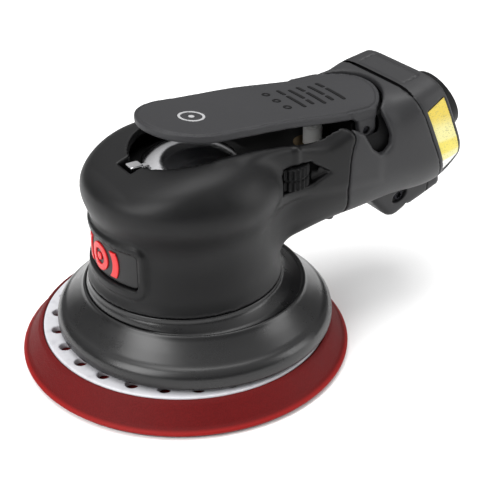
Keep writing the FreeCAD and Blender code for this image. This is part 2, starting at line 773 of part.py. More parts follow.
def motor_cylinder():
    body = cylinder(CAN_BORE - SLIP, CYLINDER_H, V(0, 0, CYLINDER_LOW))
    body = body.cut(cylinder(CYLINDER_BORE, CYLINDER_H + 2, V(ROTOR_OFFSET, 0, CYLINDER_LOW - 1)))
    middle = CYLINDER_LOW + CYLINDER_H / 2
    intake = block(V(0, 2, middle + 3), V(CAN_BORE, 5, middle + 7))
    body = body.cut(intake)
    for row in (-1, 0, 1):
        slot = block(V(0, -9, middle + 5 * row - 7), V(CAN_BORE, -4, middle + 5 * row - 5))
        body = body.cut(slot)
    return body.cut(dowel_shape())


def bearing(outer, inner, height, base):
    """Ball bearing: grooved races and shields as one ring."""
    body = tube(outer, inner, height, base)
    third = (outer - inner) / 3
    groove = tube(outer - third, inner + third, 0.5, base)
    body = body.cut(groove)
    groove.translate(V(0, 0, height - 0.5))
    return body.cut(groove)


def lower_bearing():
    return bearing(BEARING_R, SHAFT_R, BEARING_H, V(0, 0, PLATE_LOW))


def upper_bearing():
    return bearing(BEARING_R, SHAFT_R, BEARING_H, V(0, 0, UPPER_PLATE_TOP - BEARING_H))


def key_shape(grow):
    low = CYLINDER_LOW + CYLINDER_H / 2 - 5
    return block(V(SHAFT_R - 1.5, -1 - grow, low), V(SHAFT_R + 1.2 + grow, 1 + grow, low + 10))


def rotor():
    low = CYLINDER_LOW + GAP
    body = tube(ROTOR_R, SHAFT_R, ROTOR_H, V(0, 0, low))
    body = body.cut(block(V(0, -1, low - 1), V(SHAFT_R + 1.3, 1, low + ROTOR_H + 1)))
    for step in range(VANE_COUNT):
        slot = block(V(ROTOR_R - VANE_DEPTH - 0.3, -VANE_T / 2 - 0.05, low - 1),
                     V(ROTOR_R + 2, VANE_T / 2 + 0.05, low + ROTOR_H + 1))
        slot.rotate(V(0, 0, 0), Z, 360 / VANE_COUNT * step + 36)
        body = body.cut(slot)
    return body


def vanes():
    low = CYLINDER_LOW + GAP
    blades = []
    for step in range(VANE_COUNT):
        blade = block(V(ROTOR_R - VANE_DEPTH - 0.1, -VANE_T / 2, low), V(ROTOR_R - 0.1, VANE_T / 2, low + ROTOR_H))
        blade.rotate(V(0, 0, 0), Z, 360 / VANE_COUNT * step + 36)
        blades.append(blade)
    return Part.makeCompound(blades)


def rotor_key():
    return key_shape(0).cut(cylinder(SHAFT_R - 1.4, 60, V(0, 0, CYLINDER_LOW)))


def shaft_balancer():
    low = FLANGE_TOP + GAP
    cup_r = SPINDLE_BEARING_R + CUP_WALL
    cup = cylinder(cup_r, CUP_TOP - low, V(ORBIT, 0, low))
    weight_low = CUP_TOP - COUNTERWEIGHT_H
    weight = cylinder(COUNTERWEIGHT_R, COUNTERWEIGHT_H, V(0, 0, weight_low))
    weight = weight.common(block(V(-60, -60, weight_low), V(-4, 60, CUP_TOP)))
    body = cup.fuse(weight)
    body = body.cut(cylinder(SPINDLE_BEARING_R, SPINDLE_BEARING_H, V(ORBIT, 0, low)))
    body = body.fuse(cylinder(SHAFT_R + 2.5, PLATE_LOW - GAP - CUP_TOP, V(0, 0, CUP_TOP)))
    shaft = cylinder(SHAFT_R - RUN, UPPER_PLATE_TOP - CUP_TOP, V(0, 0, CUP_TOP))
    body = body.fuse(shaft).cut(key_shape(0))
    return body.cut(cylinder(SPINDLE_R - 1, 1.4, V(ORBIT, 0, low + SPINDLE_BEARING_H)))


def spindle_bearing():
    return bearing(SPINDLE_BEARING_R, SPINDLE_R, SPINDLE_BEARING_H - 1.0, V(ORBIT, 0, BEARING_FLOOR + 1.0))


def bearing_clip():
    body = tube(SPINDLE_BEARING_R, SPINDLE_BEARING_R - 1.4, 0.9, V(ORBIT, 0, BEARING_FLOOR))
    return body.cut(block(V(ORBIT, -2, BEARING_FLOOR - 1), V(ORBIT + 20, 2, BEARING_FLOOR + 2)))


def spindle():
    flange = cylinder(SPINDLE_FLANGE_R, SPINDLE_FLANGE_T, V(ORBIT, 0, DECK))
    post = cylinder(SPINDLE_R - RUN, SPINDLE_BEARING_H, V(ORBIT, 0, FLANGE_TOP))
    body = flange.fuse(post)
    body = body.cut(cylinder(STUD_R, 9, V(ORBIT, 0, DECK)))
    flats = block(V(ORBIT - 20, SPINDLE_FLANGE_R - 1.2, DECK), V(ORBIT + 20, 20, FLANGE_TOP))
    body = body.cut(flats)
    flats.rotate(V(ORBIT, 0, 0), Z, 180)
    return body.cut(flats).cut(cylinder(1.5, 20, V(ORBIT, 0, DECK + 8)))


def spindle_screw():
    top = FLANGE_TOP + SPINDLE_BEARING_H
    body = cylinder(1.5, top - DECK - 9.2, V(ORBIT, 0, DECK + 9.2))
    return body.fuse(cylinder(SPINDLE_R - 1.6, 1.0, V(ORBIT, 0, top)))


def pad_hub():
    disc = cylinder(HUB_R, HUB_T, V(ORBIT, 0, FOAM_TOP - HUB_T))
    body = disc.fuse(cylinder(STUD_R, PLATE_T + 9, V(ORBIT, 0, FOAM_TOP)))
    for step in range(4):
        angle = math.radians(90 * step + 45)
        place = V(ORBIT, 0, FOAM_TOP - HUB_T - 1) + V(math.cos(angle), math.sin(angle), 0) * (HUB_R * 0.7)
        body = body.cut(cylinder(1.8, HUB_T + 2, place))
    return body


def hole_places(z):
    ring = PLATE_R - HOLE_EDGE
    spots = []
    for step in range(HOLE_COUNT):
        angle = 2 * math.pi * step / HOLE_COUNT
        spots.append(V(ORBIT + ring * math.cos(angle), ring * math.sin(angle), z))
    return spots


def pad_plate():
    body = cylinder(PLATE_R - SLIP, PLATE_T, V(ORBIT, 0, FOAM_TOP))
    top = [e for e in body.Edges if e.CenterOfMass.z > DECK - 0.1]
    body = body.makeFillet(0.6, top)
    body = body.cut(cylinder(STUD_R, PLATE_T + 2, V(ORBIT, 0, FOAM_TOP - 1)))
    return body.cut(Part.makeCompound([cylinder(HOLE_R, PLATE_T + 2, spot) for spot in hole_places(FOAM_TOP - 1)]))


def pad_foam():
    low = PAD_R - PAD_UNDERCUT
    points = ((0, HOOK_T), (low, HOOK_T), (PAD_R, HOOK_T + PAD_LIP_H * 0.4), (PAD_R, HOOK_T + PAD_LIP_H),
              (PLATE_R + 0.8, DECK - 0.4), (PLATE_R, DECK - 0.4), (PLATE_R, FOAM_TOP), (0, FOAM_TOP))
    body = revolve(points, V(ORBIT, 0, 0))
    body = body.cut(cylinder(HUB_R, HUB_T + 1, V(ORBIT, 0, FOAM_TOP - HUB_T)))
    body = body.fuse(Part.makeCompound([
        cylinder(1.8, HUB_T, V(ORBIT, 0, FOAM_TOP - HUB_T)
                 + V(math.cos(a), math.sin(a), 0) * (HUB_R * 0.7))
        for a in [math.radians(90 * s + 45) for s in range(4)]]))
    return body.cut(Part.makeCompound([cylinder(HOLE_R, 6, spot) for spot in hole_places(FOAM_TOP - 5)]))


def hook_face():
    return cylinder(PAD_R - PAD_UNDERCUT - 0.3, HOOK_T, V(ORBIT, 0, 0))


def lever_top_points():
    """Top line of the lever on the centre plane, from tip to rear."""
    run = LEVER_CORNER_X - LEVER_X
    return ((LEVER_X - LEVER_R, LEVER_TIP_Z), (LEVER_X, LEVER_FRONT_Z), (LEVER_X + run * 0.35, LEVER_MID_Z),
            (LEVER_X + run * 0.75, LEVER_WAIST_Z), (LEVER_CORNER_X, LEVER_WAIST_Z + 0.1),
            (LEVER_REAR_X, LEVER_REAR_Z))


def lever_slab(drop, thick):
    """Slab that follows the lever's top line, drop below it."""
    half = 40.0
    upper = [V(x, -half, DECK + z - drop) for x, z in lever_top_points()]
    upper = [upper[0] + V(-4, 0, 0.6)] + upper[1:-1] + [upper[-1] + V(3, 0, 0.3)]
    lower = [p - V(0, 0, thick) for p in upper]
    wire = Part.Wire([curve(upper), Part.makeLine(upper[-1], lower[-1]), curve(lower),
                      Part.makeLine(lower[0], upper[0])])
    return Part.Face(wire).extrude(V(0, 2 * half, 0))


def throttle_lever():
    plate = lever_slab(0, LEVER_T).common(paddle(0, DECK + 50, 60))
    inner = LUG_HALF + GAP
    top = DECK + LEVER_WAIST_Z - LEVER_T / 2
    body = plate
    for side in (-1, 1):
        y0 = inner if side > 0 else -inner - EAR_T
        eye = cylinder(EAR_R, EAR_T, V(PIN_X, y0, PIN_LEVEL), Y)
        web = block(V(PIN_X - EAR_R, y0, PIN_LEVEL), V(min(PIN_X + EAR_R - 0.6, LEVER_CORNER_X), y0 + EAR_T, top))
        body = body.fuse(eye).fuse(web)
    pusher_foot = DECK + STEM_TOP + GAP
    body = body.fuse(cylinder(PUSHER_R, top - pusher_foot, V(VALVE_X, 0, pusher_foot)))
    body = body.cut(cylinder(PIN_R + 2 * RUN, 80, V(PIN_X, -40, PIN_LEVEL), Y))
    return body.cut(mark_shape(0.4, 10))


def mark_shape(depth, height):
    """Ring with a dot, on the lever's front."""
    z = DECK + LEVER_MID_Z - 3
    ring = tube(5.0, 3.9, height, V(LEVER_X + 1, 0, z))
    dot = cylinder(1.2, height, V(LEVER_X + 1, 0, z))
    return ring.fuse(dot).common(lever_slab(-0.01, depth))


def lever_mark():
    return mark_shape(0.4, 10)


def speed_dial():
    body = cylinder(DIAL_R, DIAL_H, V(DIAL_X, DIAL_Y, DIAL_FLOOR))
    pitch = 2 * math.pi / DIAL_TEETH
    for step in range(DIAL_TEETH):
        rim = V(math.cos(pitch * step), math.sin(pitch * step), 0) * DIAL_R
        spot = V(DIAL_X, DIAL_Y, DIAL_FLOOR - 1) + rim
        body = body.cut(cylinder(DIAL_R * pitch * 0.25, DIAL_H + 2, spot))
    stem = cylinder(DIAL_STEM_R - RUN, DIAL_STEM_L, V(DIAL_X, DIAL_Y, DIAL_FLOOR - DIAL_STEM_L))
    body = body.fuse(stem)
    bite = cylinder(DIAL_STEM_R / 2, 20, V(DIAL_X, DIAL_Y - 1, trim_level()), Y)
    groove = tube(DIAL_STEM_R + 1, DIAL_STEM_R - 1.2, 1.4, V(DIAL_X, DIAL_Y, DIAL_FLOOR - 2.4))
    return body.cut(bite).cut(groove)


def dial_seal():
    return tube(DIAL_STEM_R - RUN, DIAL_STEM_R - 1.2, 1.4, V(DIAL_X, DIAL_Y, DIAL_FLOOR - 2.4))


CORE = core_solid()
HANDLE = handle_loft(0.0)
HEAD = head_solid()

NODES = (
    motor_housing, soft_grip, rear_handle, handle_end_cap, shroud, crown_cap, key_rib, badge_plate, badge_mark,
    rating_label, exhaust_block, exhaust_plug, muffler, exhaust_screws, inlet_bushing, inlet_collar, inlet_screen,
    lever_pin, valve_bushing, valve_spring, valve_seat_ring, lock_ring, lower_end_plate, upper_end_plate,
    cylinder_dowel, cylinder_seals, motor_cylinder, lower_bearing, upper_bearing,
    rotor, vanes, rotor_key, shaft_balancer, spindle_bearing, bearing_clip,
    spindle, spindle_screw, pad_hub, pad_plate, pad_foam, hook_face,
    throttle_lever, lever_mark, valve_stem, valve_disc, speed_dial, dial_seal,
)


# the nodes that turn with the rotor, which rests with its crank at REST_TURN
TURNING = NODES[NODES.index(rotor):NODES.index(throttle_lever)]


def export(make):
    shape = make()
    if make in TURNING:
        shape.rotate(V(0, 0, 0), Z, REST_TURN)
    solids = shape.Solids
    shape = solids[0] if len(solids) == 1 else Part.makeCompound(solids)
    shape.exportStep("parts/" + make.__name__ + ".step")
    box = shape.BoundBox
    print(f"{make.__name__:18s} {len(solids)} valid {shape.isValid()} volume {shape.Volume:9.1f}"
          f"  x {box.XMin:.1f} {box.XMax:.1f}  y {box.YMin:.1f} {box.YMax:.1f}  z {box.ZMin:.1f} {box.ZMax:.1f}")


os.makedirs("parts", exist_ok=True)
for node in NODES:
    export(node)
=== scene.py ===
import json
import math

import bmesh
import bpy
import numpy as np
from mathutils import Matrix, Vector


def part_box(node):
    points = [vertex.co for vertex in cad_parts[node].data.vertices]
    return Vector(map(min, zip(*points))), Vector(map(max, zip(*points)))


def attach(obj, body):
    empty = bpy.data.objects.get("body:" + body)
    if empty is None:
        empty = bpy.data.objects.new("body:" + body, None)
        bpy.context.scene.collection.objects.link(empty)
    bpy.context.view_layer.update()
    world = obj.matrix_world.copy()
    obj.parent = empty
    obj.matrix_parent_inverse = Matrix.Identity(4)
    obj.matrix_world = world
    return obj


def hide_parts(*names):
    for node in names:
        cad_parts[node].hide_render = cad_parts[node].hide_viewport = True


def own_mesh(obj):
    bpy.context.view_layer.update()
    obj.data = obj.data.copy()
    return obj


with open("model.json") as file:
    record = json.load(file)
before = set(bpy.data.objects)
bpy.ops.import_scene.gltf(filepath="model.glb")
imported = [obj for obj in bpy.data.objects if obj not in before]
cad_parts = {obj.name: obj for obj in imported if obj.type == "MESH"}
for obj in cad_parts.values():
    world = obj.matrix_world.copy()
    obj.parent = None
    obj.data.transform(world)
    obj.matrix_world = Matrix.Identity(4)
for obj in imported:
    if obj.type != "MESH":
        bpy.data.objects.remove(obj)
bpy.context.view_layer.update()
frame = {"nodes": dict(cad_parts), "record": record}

MM = 0.001

# ---------------------------------------------------------------- places read from the frame, in millimetres


def node_box(node):
    low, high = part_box(node)
    return np.array(low) / MM, np.array(high) / MM


PLATE_LOW, PLATE_HIGH = node_box("pad_plate")
FOAM_LOW, FOAM_HIGH = node_box("pad_foam")
SHROUD_LOW, SHROUD_HIGH = node_box("shroud")
GRIP_LOW, GRIP_HIGH = node_box("soft_grip")
CROWN_LOW, CROWN_HIGH = node_box("crown_cap")
RIB_LOW, RIB_HIGH = node_box("key_rib")
DIAL_LOW, DIAL_HIGH = node_box("speed_dial")
LEVER_LOW, LEVER_HIGH = node_box("throttle_lever")
PIN_LOW, PIN_HIGH = node_box("lever_pin")
STEM_LOW, STEM_HIGH = node_box("valve_stem")
BADGE_LOW, BADGE_HIGH = node_box("badge_plate")
FIN_LOW, FIN_HIGH = node_box("exhaust_block")
PLUG_LOW, PLUG_HIGH = node_box("exhaust_plug")
FLOOR_Z = node_box("valve_bushing")[1][2]
SCREW_LOW, SCREW_HIGH = node_box("exhaust_screws")

DECK = PLATE_HIGH[2]
PAD_X = (FOAM_LOW[0] + FOAM_HIGH[0]) / 2
PAD_Y = (FOAM_LOW[1] + FOAM_HIGH[1]) / 2
PAD_R = (FOAM_HIGH[1] - FOAM_LOW[1]) / 2
PLATE_R = (PLATE_HIGH[1] - PLATE_LOW[1]) / 2
SHROUD_X = (SHROUD_LOW[0] + SHROUD_HIGH[0]) / 2
SHROUD_R = SHROUD_HIGH[1]
CROWN_X = (CROWN_LOW[0] + CROWN_HIGH[0]) / 2
CROWN_R = (CROWN_HIGH[0] - CROWN_LOW[0]) / 2
DIAL_X = (DIAL_LOW[0] + DIAL_HIGH[0]) / 2
DIAL_Y = (DIAL_LOW[1] + DIAL_HIGH[1]) / 2
DIAL_R = (DIAL_HIGH[0] - DIAL_LOW[0]) / 2
PIN_X = (PIN_LOW[0] + PIN_HIGH[0]) / 2
PIN_Z = (PIN_LOW[2] + PIN_HIGH[2]) / 2
STEM_X = (STEM_LOW[0] + STEM_HIGH[0]) / 2
PIN_R = (PIN_HIGH[0] - PIN_LOW[0]) / 2
LEVER_TIP = LEVER_LOW[0]
LEVER_END = LEVER_HIGH[0]
LEVER_HALF = LEVER_HIGH[1]

# ---------------------------------------------------------------- solid shapes as distance functions


def spline(xs, ys):
    """Natural cubic spline through the points, held level beyond its ends."""
    x = np.array(xs, float)
    y = np.array(ys, float)
    gap = np.diff(x)
    size = len(x)
    system = np.eye(size)
    right = np.zeros(size)
    for i in range(1, size - 1):
        system[i, i - 1:i + 2] = gap[i - 1], 2 * (gap[i - 1] + gap[i]), gap[i]
        right[i] = 6 * ((y[i + 1] - y[i]) / gap[i] - (y[i] - y[i - 1]) / gap[i - 1])
    bend = np.linalg.solve(system, right)

    def at(t):
        t = np.clip(t, x[0], x[-1])
        i = np.clip(np.searchsorted(x, t) - 1, 0, size - 2)
        a = (x[i + 1] - t) / gap[i]
        b = 1 - a
        curve = ((a ** 3 - a) * bend[i] + (b ** 3 - b) * bend[i + 1]) * gap[i] ** 2 / 6
        return a * y[i] + b * y[i + 1] + curve

    return at


def join(a, b, blend):
    """Union of two shapes with a fillet."""
    h = np.clip(0.5 + 0.5 * (b - a) / blend, 0, 1)
    return b * (1 - h) + a * h - blend * h * (1 - h)


def meet(a, b, blend):
    """Overlap of two shapes with a rounded edge."""
    return -join(-a, -b, blend)


def cut(a, b, blend):
    """Shape a without shape b, with a rounded edge."""
    return meet(a, -b, blend)


def step_up(value, start, end):
    t = np.clip((value - start) / (end - start), 0, 1)
    return t * t * (3 - 2 * t)


def polygon(u, v, corners):
    """Signed distance to a closed outline in the plane."""
    far = np.full(u.shape, 1e9)
    inside = np.zeros(u.shape, bool)
    for i, (au, av) in enumerate(corners):
        bu, bv = corners[i - 1]
        eu, ev = bu - au, bv - av
        t = np.clip(((u - au) * eu + (v - av) * ev) / (eu * eu + ev * ev), 0, 1)
        far = np.minimum(far, np.hypot(u - au - t * eu, v - av - t * ev))
        crosses = (av > v) != (bv > v)
        side = eu * (v - av) / (ev if ev else 1e-9) + au
        inside ^= crosses & (u < side)
    return np.where(inside, -far, far)


def slab(value, half):
    return np.abs(value) - half


def rounded_box(u, v, half_u, half_v, corner):
    du = np.abs(u) - half_u + corner
    dv = np.abs(v) - half_v + corner
    outside = np.hypot(np.maximum(du, 0), np.maximum(dv, 0))
    return outside + np.minimum(np.maximum(du, dv), 0) - corner


# the head's outline: radius and height above the pad's top plate
HEAD_OUTLINE = ((38.4, 19.0), (37.0, 21.7), (34.7, 28.7), (33.2, 36.7), (32.9, 43.2), (35.0, 50.7),
                (37.1, 58.2), (35.4, 64.7), (30.3, 70.7), (20.8, 74.7), (0.0, 78.2))
HEAD_MID = DECK + 48.0
HEAD_ANGLES = [math.atan2(DECK + z - HEAD_MID, r) for r, z in HEAD_OUTLINE]
HEAD_RADIUS = spline(HEAD_ANGLES, [math.hypot(DECK + z - HEAD_MID, r) for r, z in HEAD_OUTLINE])


HEAD_TOP = spline([-30.0, -21.0, -14.8, -8.6, 0.0, 12.0, 25.0],
                  [DECK + z for z in (66.6, 69.6, 71.8, 73.8, 75.6, 77.0, 78.0)])


def head(x, y, z):
    across = np.hypot(x, y)
    rise = z - HEAD_MID
    angle = np.arctan2(rise, across)
    radius = HEAD_RADIUS(angle)
    slope = (HEAD_RADIUS(angle + 0.01) - radius) / 0.01 / radius
    skin = (np.hypot(across, rise) - radius) / np.sqrt(1 + slope ** 2)
    return meet(skin, (z - HEAD_TOP(x)) * 0.94, 5.0)


# the handle's sections: share of the way along it, centre above the pad's top plate, half height,
# half width, lean in degrees
REAR_LEAN = 24.8
NECK_X = 22.0
REACH = 108.8
HANDLE = ((0.00, 49.2, 25.0, 20.0, 0.0), (0.20, 51.6, 25.2, 22.4, 0.0), (0.35, 54.2, 24.5, 24.2, 2.0),
          (0.51, 55.6, 24.2, 25.4, 7.0), (0.67, 56.9, 24.4, 26.0, 15.0), (0.88, 58.5, 25.5, 26.8, 23.6),
          (1.00, 63.3, 23.2, 25.3, REAR_LEAN))
HANDLE_X = [NECK_X + row[0] * (REACH - NECK_X) for row in HANDLE]
HANDLE_MID = spline(HANDLE_X, [DECK + row[1] for row in HANDLE])
HANDLE_TALL = spline(HANDLE_X, [row[2] for row in HANDLE])
HANDLE_WIDE = spline(HANDLE_X, [row[3] for row in HANDLE])
HANDLE_LEAN = spline(HANDLE_X, [math.radians(row[4]) for row in HANDLE])
HANDLE_NOSE = 8.0


def along_handle(x, z):
    """Place of each point along the handle, and its height within its leaning section."""
    place = x.copy()
    for _ in range(7):
        place = x + np.tan(HANDLE_LEAN(place)) * (z - HANDLE_MID(place))
    return place, (z - HANDLE_MID(place)) / np.cos(HANDLE_LEAN(place))


def handle(x, y, z, grow=0.0):
    place, rise = along_handle(x, z)
    wide = np.abs(y) / (HANDLE_WIDE(place) + grow)
    tall = np.abs(rise) / (HANDLE_TALL(place) + grow)
    power = 3.1 + 0.7 * np.tanh(rise / 7) + 1.8 * step_up(place, 84, 101) * step_up(rise, -4, 10)
    reach = (wide ** power + tall ** power) ** (1 / power) + 1e-6
    skin = np.hypot(y, rise) * (1 - 1 / reach)
    return np.maximum(skin, HANDLE_NOSE - x)


def from_rear(x, z):
    """Distance in front of the handle's rear face."""
    lean = math.radians(REAR_LEAN)
    mid = float(HANDLE_MID(REACH))
    return (REACH - x) * math.cos(lean) + (mid - z) * math.sin(lean)


def body(x, y, z, grow=0.0):
    """Head and handle in one flowing form."""
    return join(head(x, y, z) - grow, handle(x, y, z, grow), 9.0)


MOUTH_X = 1.5
MOUTH_HALF = 20.5
MOUTH_END = 73.5
NEST_FLOOR = DECK + 75.0
NEST_GAP = 1.2
LEVER_NOSE_R = 19.3
LEVER_NOSE_X = LEVER_TIP + LEVER_NOSE_R
LEVER_CORNER = 71.5


def lever_plan(x, y, grow=0.0):
    """Distance to the lever's outline seen from above."""
    share = np.clip((x - LEVER_NOSE_X) / (LEVER_CORNER - LEVER_NOSE_X), 0, 1)
    half = LEVER_NOSE_R + (LEVER_HALF - LEVER_NOSE_R) * share
    nose = np.hypot(np.minimum(x - LEVER_NOSE_X, 0), y) - half
    bow = LEVER_END - LEVER_CORNER
    arc = (LEVER_HALF ** 2 + bow ** 2) / (2 * bow)
    tail = np.hypot(np.maximum(x - LEVER_END + arc, 0), y) - arc
    side = np.where(x < LEVER_NOSE_X, nose, np.abs(y) - half)
    return meet(side, tail, 2.0) - grow


def mouth(x, y, z, ribs=0.0):
    """Opening in the top under the lever, with its key slot in front and the lever's nest behind."""
    half = MOUTH_HALF + 0.8 * np.clip((x - MOUTH_X) / (MOUTH_END - MOUTH_X), 0, 1)
    if ribs:
        turn = np.arctan2(y, x - MOUTH_X)
        deep = step_up(GRIP_HIGH[2] - 4.0 - z, 0, 1.5)
        half = half + ribs * deep * np.cos(turn * 54)
    front = np.hypot(np.minimum(x - MOUTH_X, 0), y) - half
    side = np.maximum(np.where(x < MOUTH_X, front, np.abs(y) - half), x - MOUTH_END)
    floor = np.where(x < CROWN_X + CROWN_R, CROWN_LOW[2], FLOOR_Z)
    channel = np.maximum(side, floor - z)
    slot = np.maximum(np.maximum(slab(y, 5.0), RIB_LOW[0] - 1.5 - x), np.maximum(x, CROWN_LOW[2] - z))
    nest = np.maximum(lever_plan(x, y, NEST_GAP), np.maximum(NEST_FLOOR - z, MOUTH_END - 8 - x))
    return np.minimum(np.minimum(channel, slot), nest)


SEAM = spline([DECK + z for z in (24, 39.4, 49.4, 58, 66, 70.6, 74, 78, 90)],
              [61.0, 59.6, 57.3, 57.2, 58.2, 59.2, 57.4, 55.8, 55.0])


def behind_seam(x, z):
    return SEAM(z) - x


def ear_window(x, y, z):
    """Pocket in each side that shows the lever's ear and pin."""
    spots = ((3.4, 12.0), (6.4, 3.6), (8.2, -2.4), (7.8, -6.0), (5.8, -8.2), (3.4, -8.4), (-0.6, -5.4),
             (-4.4, 1.2), (-12.0, 5.0), (-14.0, 12.0))
    flat = polygon(x, z, [(PIN_X + across, PIN_Z + up) for across, up in spots])
    return np.maximum(flat, 15.0 - np.abs(y))


DIAL_TALL = 8.8
DIAL_TEETH = 24


def dial_window(x, y, z):
    """Pocket around the dial, with the scoop behind it."""
    low = DIAL_HIGH[2] - DIAL_TALL - 0.1
    high = DIAL_HIGH[2] + 0.5
    around = np.hypot(x - DIAL_X, y - DIAL_Y) - DIAL_R - 0.6
    well = np.maximum(around, slab(z - (low + high) / 2, (high - low) / 2))
    outline = [(DIAL_X - 7.0, low), (DIAL_X - 7.0, high - 1.5), (DIAL_X - 1.0, high),
               (DIAL_X + 6.5, high - 0.5), (DIAL_X + 15.0, low + 3.6), (DIAL_X + 7.5, low)]
    depth = 18.5 + 0.33 * np.maximum(x - DIAL_X, 0)
    scoop = np.maximum(polygon(x, z, outline), y + depth)
    return np.minimum(well, scoop)


BADGE_MID = (BADGE_LOW[2] + BADGE_HIGH[2]) / 2
BADGE_HALF_W = BADGE_HIGH[1]
BADGE_HALF_H = (BADGE_HIGH[2] - BADGE_LOW[2]) / 2
WAIST_R = 33.2


def badge_plan(x, y, z, grow):
    around = np.arctan2(y, -x) * WAIST_R
    flat = rounded_box(around, z - BADGE_MID, BADGE_HALF_W * 1.06 + grow, BADGE_HALF_H + grow, 1.8 + grow)
    return np.maximum(flat, x)


SHELL = 3.3
CAN_R = 30.6


def shell(skin, x, y, z):
    wall = np.maximum(skin, -(skin + SHELL))
    can = np.where(z < CROWN_LOW[2] - 1, CAN_R - np.hypot(x, y), -50.0)
    return np.maximum(wall, can)


MOUTH_RIM = spline([8.0, 25.0, 34.0, 42.0, 50.0, 57.0, 64.0, 70.0],
                   [DECK + z for z in (71.5, 73.2, 72.2, 70.2, 69.0, 72.0, 73.4, 73.4)])


def mouth_side(x, y):
    """Distance outside the mouth's two long sides."""
    half = MOUTH_HALF + 0.8 * np.clip((x - MOUTH_X) / (MOUTH_END - MOUTH_X), 0, 1)
    return np.abs(y) - half


def mouth_wall(x, y, z):
    """Wall that carries the handle's skin up to the mouth's rim."""
    wall = meet(slab(mouth_side(x, y) - 1.2, 1.9), z - MOUTH_RIM(x), 3.0)
    return meet(meet(wall, 10.0 - x, 6.0), np.maximum(x - 70.0, DECK + 52.0 - z), 3.0)


def soft_grip(x, y, z):
    skin = join(body(x, y, z), mouth_wall(x, y, z), 4.0)
    pad = np.maximum(badge_plan(x, y, z, 2.6), np.hypot(x, y) - WAIST_R - 2.0)
    skin = join(skin, pad, 2.4)
    tall = np.maximum(np.abs(z - DIAL_HIGH[2] - 3.6) - 2.6, 0)
    ridge = np.hypot(np.hypot(x - DIAL_X - 0.2, tall), y + 23.2) - 1.1
    skin = join(skin, ridge, 1.4)
    lip = np.hypot(np.hypot((x - 61.0) / 1.5, z - DECK - 32.6), np.maximum(np.abs(y) - 9, 0)) - 3.4
    skin = join(skin, lip, 2.0)
    wall = shell(skin, x, y, z)
    wall = cut(wall, mouth(x, y, z, 0.35), 0.6)
    wall = cut(wall, dial_window(x, y, z), 1.0)
    wall = cut(wall, ear_window(x, y, z), 1.6)
    plate = np.maximum(badge_plan(x, y, z, 0.15), WAIST_R - 0.9 - np.hypot(x, y))
    wall = cut(wall, plate, 0.5)
    wall = meet(wall, GRIP_LOW[2] + 0.1 - z, 1.2)
    return meet(wall, 0.15 - behind_seam(x, z), 0.9)


def fin(x, y, z):
    """Exhaust fin below the rear handle."""
    base = FIN_LOW[0] + 1.0
    foot = FIN_LOW[2]
    spots = ((-2.5, 17.0), (-0.5, 10.4), (7.6, 1.9), (9.4, 0.6), (11.4, 0.2), (13.6, 0.7), (16.0, 1.8),
             (26.2, 5.4), (34.7, 8.7), (35.9, 10.6), (35.0, 16.0), (30.0, 19.0))
    side = polygon(x, z, [(base + back, foot + up) for back, up in spots])
    return meet(side, slab(y, FIN_HIGH[1]), 4.0)


def rear_shell(x, y, z):
    skin = join(body(x, y, z), mouth_wall(x, y, z), 4.0)
    return cut(shell(skin, x, y, z), mouth(x, y, z), 0.7)


def rear_handle(x, y, z):
    wall = rear_shell(x, y, z)
    wall = cut(wall, ear_window(x, y, z), 1.6)
    wall = meet(wall, 0.15 + behind_seam(x, z), 0.9)
    wall = cut(wall, fin(x, y, z) - 0.2, 0.4)
    return meet(wall, BAND + 0.08 - from_rear(x, z), 0.25)


BAND = 13.0
LABEL_LOW = -15.0
LABEL_HIGH = 16.5


def label_window(x, y, z, grow):
    rise = along_handle(x, z)[1]
    mid = (LABEL_HIGH + LABEL_LOW) / 2
    tall = (LABEL_HIGH - LABEL_LOW) / 2
    flat = rounded_box(from_rear(x, z) - BAND / 2, rise - mid, 4.3 + grow, tall + grow, 1.0)
    return np.maximum(flat, y + 12)


def end_cap(x, y, z):
    skin = handle(x, y, z)
    skin = meet(skin, -from_rear(x, z), 1.6)
    wall = np.maximum(skin, -(skin + SHELL))
    wall = cut(wall, np.maximum(label_window(x, y, z, 0.5), -handle(x, y, z, -0.6)), 0.3)
    panel = np.abs(rounded_box(from_rear(x, z) - BAND / 2, y, 4.0, 14.0, 1.2)) - 0.35
    panel = np.maximum(np.maximum(panel, -handle(x, y, z, -0.5)), HANDLE_MID(x) + 5 - z)
    wall = cut(wall, panel, 0.3)
    wall = cut(wall, inlet_distance(x, y, z) - 8.8, 0.4)
    wall = cut(wall, fin(x, y, z) - 0.2, 0.4)
    return meet(wall, from_rear(x, z) - BAND + 0.08, 0.25)


def inlet_distance(x, y, z):
    """Distance from the inlet's axis."""
    lean = math.radians(REAR_LEAN)
    up = -(x - INLET[0]) * math.sin(lean) + (z - INLET[1]) * math.cos(lean)
    return np.hypot(y, up)


INLET = (110.06, DECK + 60.58)

LEVER_TOP = spline([LEVER_TIP - 4, LEVER_NOSE_X, 27.0, 54.5, LEVER_CORNER, LEVER_END, LEVER_END + 4],
                   [DECK + v for v in (85.3, 82.4, 81.1, 79.4, 79.4, 80.3, 80.6)])


STEM_RISE = 4.0
EAR_INNER = 17.5
MARK_X = 4.3
MARK_R = 4.45


def lever_skin(x, y):
    """Height of the lever's top face."""
    return LEVER_TOP(x) - 1.5 * (y / 20) ** 2 * step_up(x, 30, 68)


